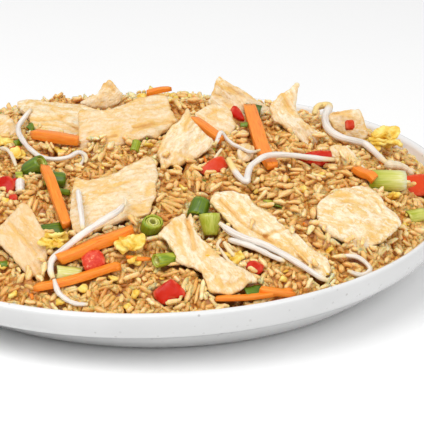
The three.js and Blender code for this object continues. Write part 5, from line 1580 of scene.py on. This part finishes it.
# ------------------------------------------------------------------ grains
SLOPES = np.array([-1.2, -0.8, -0.5, -0.3, -0.15, 0.0, 0.15, 0.3, 0.5, 0.8, 1.2])
STATIONS = np.linspace(-1, 1, 9)  # places along a grain, as shares of its half length
ACROSS = np.array([-0.7, 0.0, 0.7])  # places across it, as shares of its radius
SINK = 0.9  # how far a dropped grain presses into those below
BED_DEPTH = 1.0  # of the middles of the first grains under the target height
BED_ROUGHNESS = 0.36
BED_ROUNDS = 30
BED_BATCH = 1500
DROP_ROUNDS = 40
DROP_BATCH = 900
EDGE_MARGIN = 1.2
BUNDLE_SPACING = 1.9
CLEARANCE = 0.2  # below a raised topping
grains = []
covered = np.zeros((SIDE, SIDE), bool)


def new_grain():
    """Half length and radius of one more grain."""
    half = float(np.clip(rng.normal(2.9, 0.5), 2.0, 4.2))
    if rng.random() < 0.16:
        half *= rng.uniform(0.45, 0.75)
    return half, float(np.clip(rng.normal(1.26, 0.13), 0.92, 1.6))


def cell_of(x, y):
    """Grid row and column of places."""
    return ((y + EXTENT) / CELL).astype(int), ((x + EXTENT) / CELL).astype(int)


def cells_under(px, py, c, s, off):
    """Cells at places along a grain, and off to its sides by each of `off`."""
    return cell_of(px[:, None] - s * off, py[:, None] + c * off)


def some_of(wanted, most):
    """Row and column of up to `most` of the wanted cells, in random order."""
    cells = np.flatnonzero(wanted)
    return [divmod(int(cell), SIDE) for cell in rng.choice(cells, min(len(cells), most), replace=False)]


def place_in(iy, ix):
    """A random place inside a cell."""
    return axis[ix] + rng.uniform(-0.25, 0.25), axis[iy] + rng.uniform(-0.25, 0.25)


def grain_yaw(iy, ix, spread):
    """A direction that neighbours nearly share."""
    return math.pi * 1.3 * lay_field[iy, ix] + rng.normal(0, spread)


def inside_plate(px, py, radius):
    """Whether both ends of a grain stay clear of the dish's wall."""
    return math.sqrt(max(px[0] ** 2 + py[0] ** 2, px[-1] ** 2 + py[-1] ** 2)) + 0.75 * radius < GRAIN_LIMIT


def footprint(x, y, yaw, half, radius):
    """Places along a grain and the cells below it, or None where it would touch the plate."""
    c, s = math.cos(yaw), math.sin(yaw)
    t = STATIONS * half
    px, py = x + t * c, y + t * s
    return (t, cells_under(px, py, c, s, ACROSS * radius)) if inside_plate(px, py, radius) else None


def settle(x, y, yaw, half, radius, free):
    """Height and slope at which a grain comes to rest, or None where it can't lie."""
    found = footprint(x, y, yaw, half, radius)
    if found is None:
        return None
    t, at = found
    under = height[at].max(1)
    rest = (under[None] - SLOPES[:, None] * t[None]).max(1)
    k = int(np.argmin(rest + 0.25 * np.abs(SLOPES)))
    slope = SLOPES[k] + free
    z = (under - slope * t).max() + radius * 0.85 - SINK
    if ((z + slope * t + radius) > ceiling[at].min(1) - CLEARANCE).any():
        return None
    return z, slope


def leave(x, y, yaw, half, radius, z, slope):
    """Adds a grain to the list, to the height of the pile and to what is covered."""
    c, s = math.cos(yaw), math.sin(yaw)
    t = np.arange(-half, half + 0.01, 0.4)
    o = np.linspace(-1, 1, 7) * radius
    full = radius * np.sqrt(np.clip(1 - (t / half) ** 4, 0.05, 1))
    rise = np.sqrt(np.clip(full[:, None] ** 2 - (o * 0.95) ** 2, 0, None))
    under = cells_under(x + t * c, y + t * s, c, s, o)
    top = z + slope * t[:, None] + rise * 0.9
    np.maximum.at(height, under, top)
    np.maximum.at(rice_level, under, top)
    core = rise > 0.45 * radius
    covered[under[0][core], under[1][core]] = True
    grains.append((x, y, z, yaw, slope, half, radius))


def lay_bed():
    """Lays grains all over, side by side and pressed a little into each other, as sticky rice is."""
    wanted = (grid_r < GRAIN_LIMIT - EDGE_MARGIN) & (solid_top < target - 0.2)
    for _ in range(BED_ROUNDS):
        for iy, ix in some_of(wanted & ~covered, BED_BATCH):
            if covered[iy, ix]:
                continue
            x, y = place_in(iy, ix)
            half, radius = new_grain()
            z = target[iy, ix] - BED_DEPTH + rng.normal(0, BED_ROUGHNESS)
            yaw = grain_yaw(iy, ix, 0.75)
            for turn in (0.0, 0.8, -0.8, 1.6):
                found = footprint(x, y, yaw + turn, half, radius)
                if found is None:
                    continue
                t, at = found
                slope = float((target[at][-1, 1] - target[at][0, 1]) / (2 * half) + rng.normal(0, 0.38))
                body = (z + slope * t)[:, None]
                pokes = (body + radius > solid_top[at] - 0.3) & (body - 0.3 * radius < solid_top[at])
                if pokes.any() or (body + radius > ceiling[at] - CLEARANCE).any():
                    continue
                leave(x, y, yaw + turn, half, radius, z, slope)
                break


BUNDLES = [
    # x, y, lift, direction in degrees, how many, half length
    (13, -82, 1.2, -24, 5, 5.0), (22.5, -126, 1.0, 78, 5, 5.2), (13.5, -115.5, 1.6, 8, 4, 5.0),
    (-14, -129, 0.8, 60, 4, 4.2), (44, -72, 1.0, -50, 4, 4.4), (-17, -58, 1.0, 30, 4, 4.2), (84, -60, 1.0, 20, 4, 4.6),
    (-78, -84, 1.0, 70, 4, 4.4), (-64, 40, 1.0, 110, 4, 4.4), (70, 50, 1.0, 40, 4, 4.6),
]


def lay_bundle(x, y, lift, direction, count, half):
    """Long grains side by side, stuck together."""
    yaw = math.radians(direction)
    for k in range(count):
        aside = (k - (count - 1) / 2) * BUNDLE_SPACING
        px, py = x - aside * math.sin(yaw), y + aside * math.cos(yaw)
        along = rng.normal(0, 0.9)
        px, py = px + along * math.cos(yaw), py + along * math.sin(yaw)
        ends = [rice_top(px + e * half * math.cos(yaw), py + e * half * math.sin(yaw)) for e in (-0.7, 0, 0.7)]
        slope = (ends[2] - ends[0]) / (1.4 * half)
        z = max(ends[1], (ends[0] + ends[2]) / 2) + lift - 1.0 + rng.normal(0, 0.15)
        leave(px, py, yaw + rng.normal(0, 0.07), half * rng.uniform(0.85, 1.1), rng.uniform(1.1, 1.4), z, slope)


def drop_grains(most, need, over, spread, company):
    """Drops grains where the pile is still `need` below its target height, some with others beside them."""
    placed = 0
    allowed = (grid_r < GRAIN_LIMIT - EDGE_MARGIN) & (slice_top < target - 1.5)
    for _ in range(DROP_ROUNDS):
        wanted = (target - height > need) & allowed
        if wanted.sum() < 60 or placed >= most:
            break
        for iy, ix in some_of(wanted, DROP_BATCH):
            if target[iy, ix] - height[iy, ix] <= need:
                continue
            x, y = place_in(iy, ix)
            yaw = grain_yaw(iy, ix, spread)
            half, radius = new_grain()
            found = settle(x, y, yaw, half, radius, rng.normal(0, 0.22))
            if found is None or found[0] > target[iy, ix] + over or abs(found[1]) > 0.8:
                continue
            leave(x, y, yaw, half, radius, *found)
            placed += 1
            for _ in range(rng.binomial(2, company)):
                aside = rng.choice([-1, 1]) * radius * 1.8
                along = rng.normal(0, 1.3)
                x += along * math.cos(yaw) - aside * math.sin(yaw)
                y += along * math.sin(yaw) + aside * math.cos(yaw)
                yaw += rng.normal(0, 0.14)
                half, radius = new_grain()
                beside = settle(x, y, yaw, half, radius, rng.normal(0, 0.06))
                if beside is None or abs(beside[0] - found[0]) > 1.1 or abs(beside[1]) > 0.9:
                    break
                leave(x, y, yaw, half, radius, *beside)
                placed += 1


def lean_on_toppings(count):
    """Grains that lie half against or on the edge of a topping."""
    stands = slice_top > target - 1.0
    near_edge = (widened(stands.astype(float), 2.0) > 0) & (widened((~stands).astype(float), 1.5) > 0)
    placed = 0
    for iy, ix in some_of(near_edge & (grid_r < GRAIN_LIMIT - 6), count * 6):
        if placed >= count:
            break
        yaw = rng.uniform(-math.pi, math.pi)
        half, radius = new_grain()
        found = settle(axis[ix], axis[iy], yaw, half, radius, rng.normal(0, 0.05))
        if found is None or found[0] > target[iy, ix] + 2.4 or abs(found[1]) > 1.3:
            continue
        grains.append((axis[ix], axis[iy], found[0], yaw, found[1], half, radius))
        placed += 1


def stick_up(count, low, high):
    """Grains that stand out of the pile on one end."""
    placed = 0
    for iy, ix in some_of(grid_r < GRAIN_LIMIT - 8, count * 3):
        if placed >= count or height[iy, ix] > target[iy, ix] + 1.2:
            continue
        yaw, slope = rng.uniform(-math.pi, math.pi), rng.uniform(low, high)
        half, radius = new_grain()
        half = max(half, 3.0)
        t = np.linspace(0, 2 * half * math.cos(math.atan(slope)), 9)
        c, s = math.cos(yaw), math.sin(yaw)
        px, py = axis[ix] + t * c, axis[iy] + t * s
        if not inside_plate(px, py, radius):
            continue
        at = cells_under(px, py, c, s, ACROSS * radius)
        body = height[iy, ix] - 0.6 + slope * t
        buried = (body - radius < height[at].max(1) - 0.7)[3:].any()
        if buried or (body + radius > ceiling[at].min(1) - CLEARANCE).any():
            continue
        grains.append((px[4], py[4], float(body[4]), yaw, slope, half, radius))
        np.maximum.at(height, at, np.repeat(body[:, None], 3, axis=1))
        placed += 1


lay_field = grid_noise(8, 0, 3.3)
lay_bed()
bed_level = rice_level.copy()
for bundle in BUNDLES:
    lay_bundle(*bundle)
drop_grains(1500, 0.6, 0.9, 0.8, 0.45)
drop_grains(900, -0.3, 1.5, 0.9, 0.5)
lean_on_toppings(55)
stick_up(190, 0.4, 1.1)

# ------------------------------------------------------------------ the rice's meshes
CORE_STEP = 1.4
CORE_RADIUS = 135.9
CORE_UNDERSIDE = ((133.4, 19.5), (129.5, 16.6), (121, 12.1), (106.5, 8.9), (60, 8.1))


def make_core():
    """The rice below the upper grains as one lump, its top following them a little lower."""
    level = np.minimum(softened(bed_level, 1.0) - 1.15, target - 0.6)
    reach = math.ceil(CORE_RADIUS / CORE_STEP)
    steps = np.arange(-reach, reach + 1) * CORE_STEP
    x, y = np.meshgrid(steps, steps)
    r = np.hypot(x, y)
    chosen = r < CORE_RADIUS + 0.5 * CORE_STEP
    pull = np.where(r > CORE_RADIUS - 0.35 * CORE_STEP, CORE_RADIUS / np.maximum(r, 1), 1.0)
    x, y = (x * pull)[chosen], (y * pull)[chosen]
    z = level[cell_of(x, y)] + 0.15 * noise(spots(x / 1.7, y / 1.7, 4.0))
    inward = smoothstep(CORE_RADIUS, CORE_RADIUS - 8, np.hypot(x, y))
    z = np.maximum(z, RIM_HEIGHT - 7.0 + rim_lift(x, y) - 4.0 * inward)
    index = np.full(chosen.shape, -1)
    index[chosen] = np.arange(len(x))
    corners = np.stack([index[:-1, :-1], index[:-1, 1:], index[1:, 1:], index[1:, :-1]], axis=-1).reshape(-1, 4)
    missing = (corners < 0).sum(1)
    faces = corners[missing == 0].tolist() + [[i for i in f if i >= 0] for f in corners[missing == 1].tolist()]
    edges = {(a, b) for f in faces for a, b in zip(f, f[1:] + f[:1])}
    follows = {a: b for a, b in edges if (b, a) not in edges}
    loop = [next(iter(follows))]
    while follows[loop[-1]] != loop[0]:
        loop.append(follows[loop[-1]])
    angle = np.arctan2(y[loop], x[loop])
    rings = [np.stack([x, y, z], axis=1)]
    starts = [np.array(loop)]
    for radius, low in CORE_UNDERSIDE:
        px, py = radius * np.cos(angle), radius * np.sin(angle)
        starts.append(sum(len(ring) for ring in rings) + np.arange(len(loop)))
        rings.append(np.stack([px, py, low + rim_lift(px, py)], axis=1))
    for upper, lower in zip(starts[:-1], starts[1:]):
        faces += np.stack([np.roll(upper, -1), upper, lower, np.roll(lower, -1)], axis=1).tolist()
    middle = sum(len(ring) for ring in rings)
    rings.append(np.array([[0, 0, CORE_UNDERSIDE[-1][1]]]))
    faces += [[b, a, middle] for a, b in zip(starts[-1], np.roll(starts[-1], -1))]
    verts = np.vstack(rings)
    # painted shade: the core is given a darker tone than the grains, to darken the gaps between them
    tone_and_shade = 0.20 + 0.12 * noise(verts / 9) + 0.18 * noise(verts / 1.9)
    make_piece("rice_core", "rice", verts, faces, {"tone_and_shade": tone_and_shade}, "rice_heap")


make_core()


GRAIN_SIDES = 5
GRAIN_PROFILE = ((-0.94, 0.48), (-0.62, 0.92), (0.0, 1.03), (0.60, 0.92), (0.93, 0.50))


def grain_template():
    """Points, four-sided faces and three-sided faces of a unit grain along x."""
    angles = np.linspace(0, 2 * math.pi, GRAIN_SIDES, endpoint=False)
    rings = [spots(t, w * np.cos(angles), w * np.sin(angles)) for t, w in GRAIN_PROFILE]
    faces = ring_faces(len(rings), GRAIN_SIDES)
    quads, tris = (np.array([f for f in faces if len(f) == sides]) for sides in (4, 3))
    return np.vstack([*rings, [[-1, 0, 0]], [[1, 0, 0]]]), quads, tris


def turned(a, b, angle):
    """Two coordinates turned by an angle."""
    c, s = np.cos(angle), np.sin(angle)
    return a * c - b * s, a * s + b * c


def build_grains(rows, name):
    """One mesh of whole grains, each with its own bend, flatness, lumps and tone, and with painted shade and painted
    highlights in its colour.
    """
    unit, quads, tris = grain_template()
    n, count = len(rows), len(unit)
    x, y, z, yaw, slope, half, radius = np.array(rows).T[:, :, None]
    bend = rng.normal(0, 0.13, (n, 1))
    flat = rng.uniform(0.70, 0.95, (n, 1))
    roll = rng.uniform(0, 2 * math.pi, (n, 1))
    slim = rng.uniform(-0.26, 0.26, (n, 1))
    ring_of = np.concatenate([np.arange(count - 2) // GRAIN_SIDES, [0, len(GRAIN_PROFILE) - 1]])
    swell, shift_side, shift_up = (rng.normal(0, s, (n, len(GRAIN_PROFILE)))[:, ring_of] for s in (0.11, 0.14, 0.14))
    lumps = 1 + swell + rng.normal(0, 0.09, (n, count))
    along, side, up = unit.T[:, None]
    taper = 1 + slim * along
    side, up = turned(side * taper * lumps + shift_side, up * taper * lumps * flat + shift_up, roll)
    bow = bend * half * (1 - along**2)
    py = side * radius + bow * np.cos(roll)
    pz = up * radius + bow * np.sin(roll) * 0.6
    top_light_share = np.clip(pz / radius, -1, 1)
    px, pz = turned(along * half, pz, np.arctan(slope))
    px, py = turned(px, py, yaw)
    verts = np.stack([px + x, py + y, pz + z], axis=2)
    x, y, z = (values[:, 0] for values in (x, y, z))
    tone_and_shade = 0.525 + 0.055 * rng.normal(size=n)
    tone_and_shade += 0.12 * noise(spots(x / 22, y / 22, 8.0))
    tone_and_shade += 0.13 * noise(spots(x / 5, y / 5, 15.0))
    # painted shade: grains that lie lower than the rice around them are darker
    tone_and_shade += 0.15 * np.clip(z - around[cell_of(x, y)], -3.2, 1.4)
    # the ends a little paler, and painted light: the upper side of each grain paler
    tone_and_shade = tone_and_shade[:, None] + 0.06 * np.abs(along) ** 3 + 0.14 * top_light_share
    shift = (np.arange(n) * count)[:, None, None]
    faces = tuple((part + shift).reshape(-1, part.shape[1]) for part in (quads, tris))
    make_piece(name, "rice", verts, faces, {"tone_and_shade": tone_and_shade.ravel()}, "rice_heap")


GRAINS_PER_PIECE = 3900  # so that no piece passes 200,000 triangles
# the level below which grains get painted shade
around = softened(rice_level, 4.0) - 0.8
for k in range(0, len(grains), GRAINS_PER_PIECE):
    build_grains(grains[k : k + GRAINS_PER_PIECE], f"rice_grains_{k // GRAINS_PER_PIECE}")

# ------------------------------------------------------------------ floor, light and camera
floor_mesh = bpy.data.meshes.new("floor")
floor_mesh.from_pydata([(-3, -3, 0), (3, -3, 0), (3, 3, 0), (-3, 3, 0)], [], [(0, 1, 2, 3)])
floor = bpy.data.objects.new("floor", floor_mesh)
bpy.context.scene.collection.objects.link(floor)
floor_look = Shader("floor_paper", Roughness=0.9)
paper = floor_look.noise(floor_look.object_coords(), 4, 2)
floor_look.set(Base_Color=floor_look.ramp(paper, (0.3, (0.97, 0.97, 0.97)), (0.7, (0.985, 0.985, 0.985))))
floor_mesh.materials.append(floor_look.material)


LIGHT_TARGET = Vector((0, 0.05, 0.03))


def area_light(name, location, power):
    """A soft round lamp that shines at the food."""
    light = bpy.data.lights.new(name, "AREA")
    light.shape = "DISK"
    light.size = 1.3
    light.energy = power
    obj = bpy.data.objects.new(name, light)
    obj.location = location
    obj.rotation_euler = (LIGHT_TARGET - Vector(location)).to_track_quat("-Z", "Y").to_euler()
    bpy.context.scene.collection.objects.link(obj)


area_light("key", (-0.5, -0.6, 1.4), 14.5)
area_light("fill", (0.9, -1.0, 1.1), 8)

world = bpy.data.worlds.new("studio")
world.use_nodes = True
background = world.node_tree.nodes["Background"].inputs
background["Color"].default_value = (1, 1, 1, 1)
background["Strength"].default_value = 0.54
bpy.context.scene.world = world
bpy.context.scene.view_settings.view_transform = "Standard"

DISTANCE = 0.9
ELEVATION = math.radians(22.5)
ROLL = math.radians(1.4)
AIM_RIGHT, AIM_UP = 0.0296, 0.0144
right = Vector((1, 0, 0))
up = Vector((0, math.sin(ELEVATION), math.cos(ELEVATION)))
back = Vector((0, -math.cos(ELEVATION), math.sin(ELEVATION)))
camera_data = bpy.data.cameras.new("camera")
camera_data.sensor_width = 36
camera_data.lens = 160.9
camera = bpy.data.objects.new("camera", camera_data)
cam_x = right * math.cos(ROLL) + up * math.sin(ROLL)
cam_y = up * math.cos(ROLL) - right * math.sin(ROLL)
place = Matrix((cam_x, cam_y, back)).transposed().to_4x4()
place.translation = back * DISTANCE + right * AIM_RIGHT + up * AIM_UP
camera.matrix_world = place
bpy.context.scene.collection.objects.link(camera)
bpy.context.scene.camera = camera
